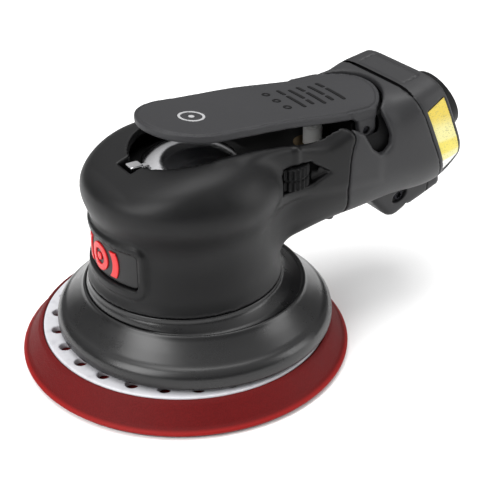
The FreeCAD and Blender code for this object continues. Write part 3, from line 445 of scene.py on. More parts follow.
def throttle_lever(x, y, z):
    under = lever_skin(x, y) - z
    plan = lever_plan(x, y)
    plate = meet(meet(plan, -under, 0.9), under - 3.0, 0.8)
    tray = np.maximum(plan + 2.4, 1.9 - under)
    spine = np.minimum(slab(y - 6.0, 0.9), slab(y + 6.0, 0.9))
    tray = cut(tray, np.minimum(spine, np.abs(np.hypot(x - STEM_X, y) - 4.4) - 1.4), 0.3)
    plate = cut(plate, tray, 0.5)
    spots = ((-7.5, 8.4), (-4.3, 3.4), (-3.5, -2.3), (-2.0, -4.0), (0.2, -4.6), (3.4, -2.6), (4.4, 0.0),
             (3.8, 8.4))
    outline = [(PIN_X + back, PIN_Z + up) for back, up in spots]
    mid = (LEVER_HALF + EAR_INNER) / 2
    ear = meet(polygon(x, z, outline), slab(np.abs(y) - mid, (LEVER_HALF - EAR_INNER) / 2), 0.8)
    foot = STEM_HIGH[2] + STEM_RISE + 0.3
    pusher = np.maximum(np.hypot(x - STEM_X, y) - 4.9, np.maximum(foot - z, z - LEVER_TOP(x) + 1.5))
    solid = join(join(plate, ear, 1.6), pusher, 1.0)
    hole = np.hypot(x - PIN_X, z - PIN_Z) - PIN_R - 0.06
    solid = cut(solid, hole, 0.3)
    ring = np.minimum(np.abs(np.hypot(x - MARK_X, y) - MARK_R) - 0.6, np.hypot(x - MARK_X, y) - 1.25)
    solid = cut(solid, np.maximum(ring, under - 0.35), 0.12)
    return cut(solid, np.hypot(plan + 1.2, under) - 0.5, 0.15)


# ---------------------------------------------------------------- from distance functions to meshes


def cast(name, shape, low, high, step):
    """Mesh of the shape's surface inside the box: surface nets, then pulled onto the surface."""
    low = np.array(low, float)
    counts = [int(math.ceil((high[i] - low[i]) / step)) + 1 for i in range(3)]
    axes = [low[i] + step * np.arange(counts[i]) for i in range(3)]
    grid = np.meshgrid(*axes, indexing="ij")
    value = shape(*grid)
    inside = value < 0
    cells = tuple(n - 1 for n in counts)
    corners = [(i, j, k) for i in (0, 1) for j in (0, 1) for k in (0, 1)]

    def corner_of(field, c):
        return field[c[0]:c[0] + cells[0], c[1]:c[1] + cells[1], c[2]:c[2] + cells[2]]

    filled = sum(corner_of(inside, c).astype(np.int8) for c in corners)
    active = (filled > 0) & (filled < 8)
    index = np.full(cells, -1, np.int64)
    place = np.argwhere(active)
    index[active] = np.arange(len(place))
    at_corner = np.stack([corner_of(value, c)[active] for c in corners], 1)
    total = np.zeros((len(place), 3))
    weight = np.zeros(len(place))
    for a in range(8):
        for b in range(a + 1, 8):
            if sum(abs(corners[a][i] - corners[b][i]) for i in range(3)) != 1:
                continue
            va = at_corner[:, a]
            vb = at_corner[:, b]
            crossed = (va < 0) != (vb < 0)
            t = np.where(crossed, va / np.where(crossed, va - vb, 1), 0)[:, None]
            point = np.array(corners[a]) * (1 - t) + np.array(corners[b]) * t
            total += np.where(crossed[:, None], point, 0)
            weight += crossed
    points = low + step * (place + total / weight[:, None])
    points = settle(shape, points, step)
    faces = []
    for axis in range(3):
        u, v = (axis + 1) % 3, (axis + 2) % 3
        first = [slice(None)] * 3
        second = [slice(None)] * 3
        first[axis] = slice(0, -1)
        second[axis] = slice(1, None)
        change = inside[tuple(first)] != inside[tuple(second)]
        edges = np.argwhere(change)
        keep = (edges[:, u] > 0) & (edges[:, v] > 0) & (edges[:, u] < cells[u]) & (edges[:, v] < cells[v])
        edges = edges[keep]
        leaving = inside[tuple(edges.T)]
        quad = []
        for du, dv in ((-1, -1), (0, -1), (0, 0), (-1, 0)):
            spot = edges.copy()
            spot[:, u] += du
            spot[:, v] += dv
            quad.append(index[tuple(spot.T)])
        quad = np.stack(quad, 1)
        faces.append(np.where(leaving[:, None], quad, quad[:, ::-1]))
    return mesh_piece(name, points, np.concatenate(faces))


def settle(shape, points, step):
    """Moves points onto the surface along its slope."""
    small = step * 0.05
    for _ in range(3):
        x, y, z = points.T
        value = shape(x, y, z)
        slope = np.stack([shape(x + small, y, z) - value, shape(x, y + small, z) - value,
                          shape(x, y, z + small) - value], 1) / small
        steep = np.maximum((slope ** 2).sum(1), 0.2)
        move = -slope * (value / steep)[:, None]
        far = np.linalg.norm(move, axis=1)
        limit = step * 0.5
        move *= np.minimum(1, limit / np.maximum(far, 1e-9))[:, None]
        points = points + move
    return points


def mesh_piece(name, points, faces, smooth=True):
    data = bpy.data.meshes.new(name)
    data.from_pydata((np.asarray(points) * MM).tolist(), [], [list(map(int, f)) for f in faces])
    data.update()
    data.validate()
    if smooth:
        data.shade_smooth()
    piece = bpy.data.objects.new(name, data)
    bpy.context.scene.collection.objects.link(piece)
    return piece


def bowl(points, rounding, count=5):
    """Closed outline of (radius, height) points with each corner rounded."""
    result = []
    size = len(points)
    for i, (p, r) in enumerate(zip(points, rounding)):
        p = np.array(p, float)
        if r <= 0:
            result.append(p)
            continue
        before = np.array(points[i - 1], float) - p
        after = np.array(points[(i + 1) % size], float) - p
        trim = min(r, 0.45 * np.linalg.norm(before), 0.45 * np.linalg.norm(after))
        a = p + before / np.linalg.norm(before) * trim
        b = p + after / np.linalg.norm(after) * trim
        for t in np.linspace(0, 1, count):
            result.append((1 - t) ** 2 * a + 2 * t * (1 - t) * p + t * t * b)
    return result


def turned(name, outline, centre=(0, 0), segments=240, base=None, lean=0.0):
    """Solid turned about the vertical through centre, or about a leaning axis through base."""
    rows = len(outline)
    angle = 2 * math.pi * np.arange(segments) / segments
    points = []
    for r, h in outline:
        points.append(np.stack([r * np.cos(angle), r * np.sin(angle), np.full(segments, float(h))], 1))
    points = np.concatenate(points)
    if base is None:
        points[:, 0] += centre[0]
        points[:, 1] += centre[1]
    else:
        tip = math.radians(lean)
        side, across, run = points.T
        points = np.stack([base[0] + run * math.cos(tip) - side * math.sin(tip), across,
                           base[1] + run * math.sin(tip) + side * math.cos(tip)], 1)
    faces = []
    for i in range(rows):
        nxt = (i + 1) % rows
        for j in range(segments):
            k = (j + 1) % segments
            faces.append((i * segments + j, i * segments + k, nxt * segments + k, nxt * segments + j))
    piece = mesh_piece(name, points, faces)
    recalculate(piece)
    sharpen(piece, 40)
    return piece


def recalculate(piece):
    """Merges doubled points and turns every face outward."""
    work = bmesh.new()
    work.from_mesh(piece.data)
    bmesh.ops.remove_doubles(work, verts=work.verts, dist=1e-7)
    bmesh.ops.dissolve_degenerate(work, dist=1e-7, edges=work.edges)
    bmesh.ops.recalc_face_normals(work, faces=work.faces)
    work.to_mesh(piece.data)
    work.free()
    piece.data.shade_smooth()


def sharpen(piece, degrees):
    piece.data.set_sharp_from_angle(angle=math.radians(degrees))
# ---------------------------------------------------------------- materials


class Wire:
    """A value in a material, so that a sum on it adds its Math node."""

    def __init__(self, paint, socket):
        self.paint = paint
        self.socket = socket

    def sum_with(self, operation, first, second):
        return self.paint.node("ShaderNodeMath", {"operation": operation}, {0: first, 1: second})

    def __add__(self, other):
        return self.sum_with("ADD", self, other)

    __radd__ = __add__

    def __sub__(self, other):
        return self.sum_with("SUBTRACT", self, other)

    def __rsub__(self, other):
        return self.sum_with("SUBTRACT", other, self)

    def __mul__(self, other):
        return self.sum_with("MULTIPLY", self, other)

    __rmul__ = __mul__

    def __truediv__(self, other):
        return self.sum_with("DIVIDE", self, other)

    def __rtruediv__(self, other):
        return self.sum_with("DIVIDE", other, self)


class Paint:
    """One material and its nodes."""

    def __init__(self, name, **constants):
        self.material = bpy.data.materials.new(name)
        self.material.use_nodes = True
        self.tree = self.material.node_tree
        self.shader = self.tree.nodes["Principled BSDF"]
        self.place = self.node("ShaderNodeTexCoord", out="Object")
        for key, value in constants.items():
            self.shader.inputs[key.replace("_", " ")].default_value = value

    def feed(self, socket, value):
        if isinstance(value, Wire):
            self.tree.links.new(value.socket, socket)
        else:
            socket.default_value = value

    def node(self, kind, settings=None, values=None, out=0):
        made = self.tree.nodes.new(kind)
        for key, value in (settings or {}).items():
            setattr(made, key, value)
        for key, value in (values or {}).items():
            self.feed(made.inputs[key], value)
        return Wire(self, made.outputs[out])

    def stretched(self, scale):
        return self.node("ShaderNodeVectorMath", {"operation": "MULTIPLY"}, {0: self.place, 1: scale})

    def noise(self, size_mm, detail=4.0, stretch=(1, 1, 1), rough=0.5):
        where = self.place if stretch == (1, 1, 1) else self.stretched(stretch)
        values = {"Vector": where, "Scale": 1 / (size_mm * MM), "Detail": detail, "Roughness": rough}
        return self.node("ShaderNodeTexNoise", {}, values)

    def cells(self, size_mm):
        return self.node("ShaderNodeTexVoronoi", {"feature": "F1"},
                         {"Vector": self.place, "Scale": 1 / (size_mm * MM)})

    def ramp(self, value, low, high):
        return self.node("ShaderNodeMapRange", {"clamp": True, "interpolation_type": "SMOOTHSTEP"},
                         {"Value": value, "From Min": low, "From Max": high, "To Min": 0.0, "To Max": 1.0})

    def height(self):
        return self.node("ShaderNodeSeparateXYZ", {}, {0: self.place}, out="Z") / MM

    def mix(self, share, first, second):
        values = {0: share, 6: colour(first), 7: colour(second)}
        return self.node("ShaderNodeMix", {"data_type": "RGBA"}, values, out=2)

    def bump(self, height, depth_mm):
        return self.node("ShaderNodeBump", {}, {"Height": height, "Strength": 1.0, "Distance": depth_mm * MM})

    def done(self, **sockets):
        for key, value in sockets.items():
            self.feed(self.shader.inputs[key.replace("_", " ")], value)
        return self.material


def colour(value):
    """A hex colour as linear light, or a wire as it is."""
    if not isinstance(value, str):
        return value
    channels = [int(value[i:i + 2], 16) / 255 for i in (0, 2, 4)]
    return tuple(c / 12.92 if c <= 0.04045 else ((c + 0.055) / 1.055) ** 2.4 for c in channels) + (1,)


def moulded(name, deep, raised, rough, grain_mm, grain_depth, **constants):
    """Moulded plastic or rubber: a fine grain, faint clouding and rubbed patches."""
    paint = Paint(name, **constants)
    grain = paint.noise(grain_mm, 3)
    cloud = paint.noise(22, 3)
    rubbed = paint.ramp(paint.noise(9, 5, rough=0.62), 0.52, 0.74)
    tone = paint.mix(cloud * 0.7 + grain * 0.3, deep, raised)
    gloss = rough + (cloud - 0.5) * 0.16 + (grain - 0.5) * 0.10 - rubbed * 0.07
    return paint.done(Base_Color=tone, Roughness=gloss, Normal=paint.bump(grain, grain_depth))


def metal(name, dark, light, rough, line_mm, stretch, depth):
    """Worked metal: tool lines along one way, and faint cloudy handling marks."""
    paint = Paint(name)
    lines = paint.noise(line_mm, 5, stretch)
    cloud = paint.noise(6, 4)
    tone = paint.mix(cloud * 0.6 + lines * 0.4, dark, light)
    gloss = rough + (lines - 0.5) * 0.14 + paint.ramp(cloud, 0.5, 0.8) * 0.08
    return paint.done(Base_Color=tone, Roughness=gloss, Normal=paint.bump(lines, depth), Metallic=1.0)


def foam_red():
    """Moulded red foam: fine open cells, with a glossier lip along the top edge that is painted a lighter red
    as a painted highlight.
    """
    paint = Paint("pad_red", IOR=1.4, Specular_IOR_Level=0.22)
    cell = paint.cells(0.55)
    pore = paint.ramp(cell, 0.15, 0.75)
    cloud = paint.noise(14, 4)
    level = paint.height()
    lip = 1 - paint.ramp(level, FOAM_LOW[2] + 1.6, FOAM_LOW[2] + 2.4)
    deep = paint.mix(cloud * 0.6 + pore * 0.4, "4c0304", "5e0708")
    # painted highlight: the lip is painted a lighter red where light catches the edge; its lower roughness is
    # its own gloss
    tone = paint.mix(lip, deep, "80100e")
    return paint.done(Base_Color=tone, Roughness=0.62 - lip * 0.12 + (cloud - 0.5) * 0.14,
                      Normal=paint.bump(pore, 0.05))


def hook_fabric():
    """Woven loop backing with a coarse cross grain."""
    paint = Paint("hook_fabric", IOR=1.4, Sheen_Weight=0.4)
    warp = paint.node("ShaderNodeTexWave", {"wave_type": "BANDS", "bands_direction": "X"},
                      {"Vector": paint.place, "Scale": 700.0, "Distortion": 1.5})
    weft = paint.node("ShaderNodeTexWave", {"wave_type": "BANDS", "bands_direction": "Y"},
                      {"Vector": paint.place, "Scale": 700.0, "Distortion": 1.5})
    weave = (warp + weft) * 0.5
    tone = paint.mix(weave, "2b2b2d", "56565a")
    return paint.done(Base_Color=tone, Roughness=0.9 - weave * 0.1, Normal=paint.bump(weave, 0.15))


def label_yellow():
    """Printed foil label: yellow at the top, pale in the middle, a yellow field low down and a white foot."""
    paint = Paint("label_yellow", IOR=1.5)
    level = paint.height()
    top = paint.ramp(level, DECK + 64.0, DECK + 71.0)
    field = paint.ramp(level, DECK + 53.0, DECK + 54.6) - paint.ramp(level, DECK + 58.6, DECK + 60.2)
    foot = paint.ramp(level, DECK + 50.2, DECK + 51.2)
    fleck = paint.noise(0.5, 3)
    specks = paint.ramp(paint.noise(1.1, 1, (1, 1, 3)), 0.60, 0.66)
    tone = paint.mix(top, "dcd588", "d2b80c")
    tone = paint.mix(field, tone, "dccb3c")
    tone = paint.mix(foot, "dededa", tone)
    tone = paint.mix(specks * 0.35, tone, "4a4636")
    tone = paint.mix(fleck * 0.10, tone, "ffffff")
    return paint.done(Base_Color=tone, Roughness=0.42 + (fleck - 0.5) * 0.2, Normal=paint.bump(fleck, 0.01))


def plate_white():
    """White moulded plate with mottled grey dust."""
    paint = Paint("pad_white", IOR=1.48)
    dust = paint.noise(3.5, 5)
    cloud = paint.noise(17, 3)
    tone = paint.mix(paint.ramp(dust, 0.45, 0.8) * 0.5 + cloud * 0.2, "c2c2c6", "a0a0a6")
    return paint.done(Base_Color=tone, Roughness=0.42 + (cloud - 0.5) * 0.2, Normal=paint.bump(dust, 0.02))


def crown_steel():
    """Polished steel with a faint haze and a very fine bump."""
    paint = Paint("polished_steel")
    haze = paint.noise(4, 4)
    fine = paint.noise(0.3, 2)
    tone = paint.mix(haze, "c9c9cc", "e6e6e8")
    return paint.done(Base_Color=tone, Roughness=0.12 + haze * 0.07, Normal=paint.bump(fine, 0.0015),
                      Metallic=1.0)


# name, deep and raised tone, roughness, grain size and depth in millimetres, refractive index, shine
MOULDED = (
    ("soft_grip", "060607", "0d0d0e", 0.44, 0.45, 0.02, 1.4, 0.35),
    ("hard_plastic", "1d1d1e", "29292b", 0.48, 0.5, 0.03, 1.45, 0.4),
    ("shroud_rubber", "070708", "0e0e0f", 0.30, 0.6, 0.01, 1.5, 0.5),
    ("lever_plastic", "232325", "2d2d2f", 0.52, 0.5, 0.03, 1.45, 0.35),
    ("dark_plastic", "040405", "09090a", 0.5, 0.4, 0.03, 1.4, 0.2),
    ("badge_grey", "0c0c0d", "151516", 0.42, 0.3, 0.01, 1.45, 0.4),
    ("mark_red", "b40a10", "d01218", 0.38, 0.3, 0.01, 1.5, 0.5),
    ("stem_white", "ececea", "f6f6f4", 0.36, 0.4, 0.01, 1.5, 0.5),
    ("mark_grey", "8f8f90", "b0b0b1", 0.45, 0.3, 0.01, 1.5, 0.5),
    ("seal_rubber", "0d0d0d", "1b1b1b", 0.50, 0.3, 0.02, 1.5, 0.5),
)

# name, dark and light tone, roughness, line size in millimetres, stretch of the lines, their depth
WORKED = (
    ("machined_steel", "8d8f93", "b9bbbf", 0.26, 0.4, (1, 1, 12), 0.004),
    ("black_steel", "141416", "26262a", 0.38, 0.4, (1, 1, 8), 0.004),
    ("aluminium", "9b9da1", "c4c6c9", 0.36, 0.5, (1, 1, 6), 0.006),
    ("brass", "4a3a1c", "6a5428", 0.30, 0.4, (1, 1, 10), 0.004),
)

FINISHES = {
    "polished_steel": crown_steel(),
    "label_yellow": label_yellow(),
    "pad_red": foam_red(),
    "pad_white": plate_white(),
    "hook_fabric": hook_fabric(),
    "felt": moulded("felt", "55544f", "77756e", 0.95, 0.25, 0.12, Sheen_Weight=0.3),
}
for name, *tones, ior, shine in MOULDED:
    FINISHES[name] = moulded(name, *tones, IOR=ior, Specular_IOR_Level=shine)
for name, *look in WORKED:
    FINISHES[name] = metal(name, *look)


def finish_piece(piece, body_name, slot, *nodes):
    """Gives a piece its material, body and slot, and hides the solids that it stands for."""
    piece.data.materials.clear()
    piece.data.materials.append(FINISHES[slot])
    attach(piece, body_name)
    if nodes:
        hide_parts(*nodes)
    return piece


for row in frame["record"]["subparts"]:
    owner = frame["nodes"][row["node"]]
    owner.data.materials.clear()
    owner.data.materials.append(FINISHES[row["material_slot"]])

# ---------------------------------------------------------------- camera, floor and lights

EYE = Vector((-0.1677, -0.3091, (DECK + 232.0) * MM))
SIGHT = Vector((0.461, 0.737, -0.495))

lens = bpy.data.cameras.new("camera")
lens.lens = 80
lens.sensor_width = 36
camera = bpy.data.objects.new("camera", lens)
camera.location = EYE
camera.rotation_euler = SIGHT.to_track_quat("-Z", "Y").to_euler()
bpy.context.scene.collection.objects.link(camera)
bpy.context.scene.camera = camera


def studio_material():
    paint = Paint("studio_white", IOR=1.45)
    cloud = paint.noise(120, 3)
    tone = paint.mix(cloud, "f6f6f6", "ffffff")
    return paint.done(Base_Color=tone, Roughness=0.9 - cloud * 0.05)


def floor():
    half = 3000.0
    corners = [(-half, -half, -0.05), (half, -half, -0.05), (half, half, -0.05), (-half, half, -0.05)]
    piece = mesh_piece("floor", corners, [(0, 1, 2, 3)], smooth=False)
    piece.data.materials.append(studio_material())


def soft_light(name, place, aim, size, power):
    lamp = bpy.data.lights.new(name, "AREA")
    lamp.shape = "RECTANGLE"
    lamp.size, lamp.size_y = size
    lamp.energy = power
    holder = bpy.data.objects.new(name, lamp)
    holder.location = place
    holder.rotation_euler = (Vector(aim) - Vector(place)).to_track_quat("-Z", "Y").to_euler()
    bpy.context.scene.collection.objects.link(holder)


def studio():
    floor()
    world = bpy.data.worlds.new("studio")
    world.use_nodes = True
    tree = world.node_tree
    spot = tree.nodes.new("ShaderNodeTexCoord")
    parts = tree.nodes.new("ShaderNodeSeparateXYZ")
    strength = tree.nodes.new("ShaderNodeMapRange")
    tree.links.new(spot.outputs["Generated"], parts.inputs[0])
    tree.links.new(parts.outputs["Z"], strength.inputs["Value"])
    for name, value in (("From Min", 0.0), ("From Max", 1.0), ("To Min", 0.06), ("To Max", 1.15)):
        strength.inputs[name].default_value = value
    sky = tree.nodes["Background"]
    sky.inputs["Color"].default_value = (1, 1, 1, 1)
    tree.links.new(strength.outputs["Result"], sky.inputs["Strength"])
    bpy.context.scene.world = world
    bpy.context.scene.view_settings.view_transform = "Standard"
    centre = (0.03, 0, 0.05)
    soft_light("left_softbox", (-0.75, -0.15, 0.55), centre, (0.5, 0.7), 7.0)
    soft_light("top_softbox", (0.05, 0.1, 0.9), centre, (0.8, 0.5), 5.0)
    soft_light("right_softbox", (0.75, -0.55, 0.35), centre, (0.4, 0.6), 3.0)


# ---------------------------------------------------------------- pieces of the backing pad


PAD_BORE = 14.2


def pad_foam():
    """Red foam disc: steep cone from the white plate down to a thin sharp lip."""
    low = FOAM_LOW[2]
    waist = PLATE_R + 0.7
    outline = [(PAD_BORE, low), (PAD_R - 1.0, low), (PAD_R - 0.1, low + 0.5), (PAD_R, low + 1.3),
               (PAD_R - 0.9, low + 1.9), (PAD_R - 2.2, low + 2.7), (waist + 1.2, DECK - 1.3),
               (waist, DECK - 0.3), (PLATE_R + 0.1, DECK - 0.4), (PLATE_R + 0.1, PLATE_LOW[2] - 0.05),
               (PAD_BORE, PLATE_LOW[2] - 0.05)]
    rounding = (0, 0.4, 0.5, 0.4, 0.5, 1.4, 1.0, 0.4, 0.3, 0, 0)
    piece = turned("pad_foam", bowl(outline, rounding), (PAD_X, PAD_Y), 288)
    return finish_piece(piece, "pad", "pad_red", "pad_foam")


HOLE_COUNT = 26
HOLE_R = 2.5
HOLE_RING = PLATE_R - 5.5
HOLE_TURN = math.radians(10.4)


def pad_plate():
    """White plate with a ring of dust holes, each with a rounded mouth."""
    def shape(x, y, z):
        across = np.hypot(x - PAD_X, y - PAD_Y)
        flat = rounded_box(across, z - (PLATE_LOW[2] + PLATE_HIGH[2]) / 2, PLATE_R - 0.15,
                           (PLATE_HIGH[2] - PLATE_LOW[2]) / 2, 0.7)
        turn = np.arctan2(y - PAD_Y, x - PAD_X) - HOLE_TURN
        pitch = 2 * math.pi / HOLE_COUNT
        turn = turn - pitch * np.round(turn / pitch)
        hole = np.hypot(across * np.cos(turn) - HOLE_RING, across * np.sin(turn)) - HOLE_R
        step = np.maximum(np.abs(across - HOLE_RING + 8.6) - 0.5, PLATE_HIGH[2] - 0.5 - z)
        inner = PAD_BORE - across
        return cut(cut(np.maximum(flat, inner), hole, 0.4), step, 0.3)

    reach = PLATE_R + 0.6
    piece = cast("pad_plate", shape, (PAD_X - reach, PAD_Y - reach, PLATE_LOW[2] - 0.5),
                 (PAD_X + reach, PAD_Y + reach, PLATE_HIGH[2] + 0.5), 0.5)
    return finish_piece(piece, "pad", "pad_white", "pad_plate")


def hook_face():
    outline = [(0.01, 0.0), (PAD_R - 1.6, 0.0), (PAD_R - 1.3, 0.3), (PAD_R - 1.4, 0.98), (0.01, 0.98)]
    piece = turned("hook_face", bowl(outline, (0, 0.2, 0.2, 0.1, 0)), (PAD_X, PAD_Y), 240)
    return finish_piece(piece, "pad", "hook_fabric", "hook_face")


# ---------------------------------------------------------------- pieces of the housing


def shroud():
    """Flexible skirt: tall rim band, cone, thin ridge, and the collar under the grip."""
    rim = SHROUD_LOW[2]
    r = SHROUD_R
    top = DECK + 21.55
    ridge = 41.9
    outline = [(r - 1.0, rim), (r, rim + 0.9), (r, rim + 3.6), (r - 0.5, rim + 5.6), (r - 1.9, rim + 7.3),
               (r - 3.6, rim + 8.2), (ridge + 3.6, rim + 11.9), (ridge + 1.2, rim + 14.6),
               (ridge + 0.5, rim + 15.9), (ridge - 0.3, rim + 16.2), (ridge - 0.9, rim + 15.4),
               (ridge - 2.4, rim + 16.0),
               (36.8, top - 1.8), (36.6, top), (33.2, top), (31.2, top), (30.8, rim + 14.0),
               (r - 14.4, rim + 13.6), (r - 12.2, rim + 12.4), (r - 8.8, rim + 8.4), (r - 3.4, rim + 4.2),
               (r - 2.2, rim)]
    rounding = (0.6, 1.0, 1.4, 1.0, 1.0, 1.2, 3.0, 1.2, 0.4, 0.4, 0.4, 0.5, 0.8, 0.4, 0.3, 0, 0.5, 1.0, 2.0,
                2.0, 1.0, 0.6)
    piece = turned("shroud", bowl(outline, rounding), (0, 0), 288)
    points = np.array([tuple(v.co) for v in piece.data.vertices]) / MM
    points[:, 0] += SHROUD_X * step_up(np.hypot(points[:, 0], points[:, 1]), 36.8, ridge)
    piece.data.vertices.foreach_set("co", (points * MM).ravel())
    piece.data.update()
    return finish_piece(piece, "housing", "shroud_rubber", "shroud")


def moulding(name, shape, slot, step):
    """One shell of the body, cast in a box a little larger than its own."""
    low, high = node_box(name)
    piece = cast(name, shape, low - 1.0, high + np.array([2.5, 1.0, 1.5]), step)
    return finish_piece(piece, "housing", slot, name)


def grip():
    return moulding("soft_grip", soft_grip, "soft_grip", GRIP_STEP)


def rear():
    return moulding("rear_handle", rear_handle, "hard_plastic", GRIP_STEP)


def cap():
    return moulding("handle_end_cap", end_cap, "hard_plastic", GRIP_STEP * 0.8)


def patch(name, skin, spots, rows, columns, thick):
    """Thin sheet laid on a surface through a grid of spots."""
    outer = settle(skin, np.array(spots, float), 1.0)
    outer = settle(skin, outer, 1.0)
    small = 0.02
    x, y, z = outer.T
    value = skin(x, y, z)
    slope = np.stack([skin(x + small, y, z) - value, skin(x, y + small, z) - value,
                      skin(x, y, z + small) - value], 1)
    slope /= np.linalg.norm(slope, axis=1)[:, None]
    inner = outer - slope * thick
    count = rows * columns
    faces = []
    for i in range(rows - 1):
        for j in range(columns - 1):
            a, b = i * columns + j, (i + 1) * columns + j
            faces.append((a, a + 1, b + 1, b))
            faces.append((count + a, count + b, count + b + 1, count + a + 1))
    rim = [j for j in range(columns)] + [i * columns + columns - 1 for i in range(1, rows)]
    rim += [(rows - 1) * columns + j for j in range(columns - 2, -1, -1)]
    rim += [i * columns for i in range(rows - 2, 0, -1)]
    for a, b in zip(rim, rim[1:] + rim[:1]):
        faces.append((b, a, count + a, count + b))
    piece = mesh_piece(name, np.concatenate([outer, inner]), faces)
    recalculate(piece)
    sharpen(piece, 35)
    return piece


def rating_label():
    lean = math.radians(REAR_LEAN)
    mid = float(HANDLE_MID(REACH))
    rows, columns = 24, 60
    spots = []
    for back in np.linspace(1.6, BAND - 1.6, rows):
        for rise in np.linspace(LABEL_LOW + 0.6, LABEL_HIGH - 0.6, columns):
            spots.append((REACH - back * math.cos(lean) - rise * math.sin(lean), -24.0,
                          mid - back * math.sin(lean) + rise * math.cos(lean)))
    piece = patch("rating_label", lambda x, y, z: handle(x, y, z, -0.3), spots, rows, columns, 0.25)
    return finish_piece(piece, "housing", "label_yellow", "rating_label")


def crown_cap():
    """Polished crown: a straight side that rolls over into a full dome."""
    low, high = CROWN_LOW[2], CROWN_HIGH[2]
    r = CROWN_R
    fall = 5.4
    outline = [(0.01, low), (r - 0.6, low), (r, low + 0.6), (r, high - fall - 0.5)]
    outline += [(r * share, high - fall * share ** 2.2)
                for share in (0.985, 0.95, 0.9, 0.8, 0.7, 0.6, 0.5, 0.4, 0.25)]
    outline += [(0.01, high)]
    rounding = [0, 0.3, 0.3, 0.4] + [0.6] * 9 + [0]
    piece = turned("crown_cap", bowl(outline, rounding), (CROWN_X, 0), 256)
    return finish_piece(piece, "housing", "polished_steel", "crown_cap")


def key_rib():
    """Polished key that locks the crown in the front slot."""
    mid = (RIB_LOW[2] + RIB_HIGH[2]) / 2
    tall = (RIB_HIGH[2] - RIB_LOW[2]) / 2
    neck = CROWN_X - CROWN_R - 2.0

    def shape(x, y, z):
        front = RIB_LOW[0]
        flat = rounded_box(x - (front + neck) / 2, y, (neck - front) / 2, RIB_HIGH[1], 0.8)
        block = np.maximum(flat, slab(z - mid, tall))
        stalk = np.maximum(slab(y, RIB_HIGH[1] * 0.66), slab(z - mid + 0.6, tall - 0.6))
        stalk = np.maximum(stalk, slab(x - neck - 1.0, 3.4))
        return meet(join(block, stalk, 0.6), z - mid - tall + 0.02, 0.5)

    piece = cast("key_rib", shape, RIB_LOW - 0.6, RIB_HIGH + 0.6, 0.3)
    return finish_piece(piece, "housing", "polished_steel", "key_rib")


def badge_plate():
    outer = WAIST_R + 1.0

    def shape(x, y, z):
        across = np.hypot(x, y)
        return meet(badge_plan(x, y, z, -0.25), slab(across - outer + 0.9, 0.9), 0.5)

    piece = cast("badge_plate", shape, (-outer - 0.8, -20, BADGE_LOW[2] - 0.8),
                 (-outer + 8.5, 20, BADGE_HIGH[2] + 0.8), 0.4)
    return finish_piece(piece, "housing", "badge_grey", "badge_plate")


def badge_mark():
    """Raised ring with a dot in its middle and an arc each side."""
    outer = WAIST_R + 1.0
    tall = 2 * BADGE_HALF_H

    def shape(x, y, z):
        rise = z - BADGE_MID
        around = np.abs(np.arctan2(y, -x) * WAIST_R)
        out = np.hypot(around, rise)
        ring = np.minimum(np.abs(out - tall * 0.30) - tall * 0.085, out - tall * 0.11)
        arc = np.maximum(np.abs(out - tall * 0.68) - tall * 0.10, np.abs(rise) - tall * 0.36)
        flat = np.minimum(ring, arc)
        return meet(flat, slab(np.hypot(x, y) - outer - 0.15, 0.4), 0.2)

    piece = cast("badge_mark", shape, (-outer - 0.9, -13.5, BADGE_MID - 6),
                 (-outer + 4.5, 13.5, BADGE_MID + 6), 0.25)
    return finish_piece(piece, "housing", "mark_red", "badge_mark")


SCREW_X = (SCREW_LOW[0] + SCREW_HIGH[0]) / 2
SCREW_Y = SCREW_HIGH[1] - 2.7
PLUG_X = PLUG_LOW[0]


SIDE_X = SCREW_X - 4.0
SIDE_Z = DECK + 30.2


def recess(x, y, z):
    """Pockets for the screws: one pair below and one oval pair in the fin's sides."""
    below = np.maximum(np.hypot((x - SCREW_X) / 1.25, np.abs(y) - SCREW_Y) - 2.9, z - SCREW_LOW[2] - 2.6)
    oval = (np.hypot((x - SIDE_X) / 1.45, z - SIDE_Z - 0.35 * (x - SIDE_X)) - 2.5) * 0.8
    return np.minimum(below, np.maximum(oval, FIN_HIGH[1] - 1.9 - np.abs(y)))


def exhaust_block():
    def shape(x, y, z):
        solid = meet(fin(x, y, z), x - PLUG_X + 0.15, 0.4)
        return cut(solid, recess(x, y, z), 0.5)

    piece = cast("exhaust_block", shape, FIN_LOW - 1.0, (PLUG_X + 1, FIN_HIGH[1] + 1, FIN_HIGH[2] + 1), 0.55)
    return finish_piece(piece, "housing", "hard_plastic", "exhaust_block")


def exhaust_plug():
    def shape(x, y, z):
        solid = meet(fin(x, y, z), PLUG_X + 0.15 - x, 0.4)
        spacing = 4.5
        slots = np.abs(y - spacing * np.clip(np.round(y / spacing), -1, 1)) - 1.1
        slots = np.maximum(slots, np.maximum(x * 0 + PLUG_X + 2.5 - x, slab(z - DECK - 30.6, 2.4)))
        return cut(solid, slots, 0.3)

    piece = cast("exhaust_plug", shape, (PLUG_X - 1, -FIN_HIGH[1] - 1, PLUG_LOW[2] - 1), PLUG_HIGH + 1.0, 0.5)
    return finish_piece(piece, "housing", "hard_plastic", "exhaust_plug")


def exhaust_screws():
    """Two pan screws with six-lobed sockets."""
    low, high = SCREW_LOW[2], SCREW_HIGH[2]

    def shape(x, y, z):
        side = np.abs(y) - SCREW_Y
        out = np.hypot(x - SCREW_X, side)
        head = rounded_box(out, z - low - 1.3, 2.6, 1.3, 0.5)
        stem = np.maximum(out - 1.5, np.maximum(low + 1 - z, z - low - 4.5))
        turn = np.arctan2(side, x - SCREW_X)
        star = np.maximum(out - 1.35 - 0.35 * np.cos(6 * turn), z - low - 1.6)
        return cut(join(head, stem, 0.2), star, 0.1)

    piece = cast("exhaust_screws", shape, (SCREW_X - 3.2, -SCREW_Y - 3.2, low - 0.5),
                 (SCREW_X + 3.2, SCREW_Y + 3.2, low + 5), 0.25)
    return finish_piece(piece, "housing", "black_steel", "exhaust_screws")


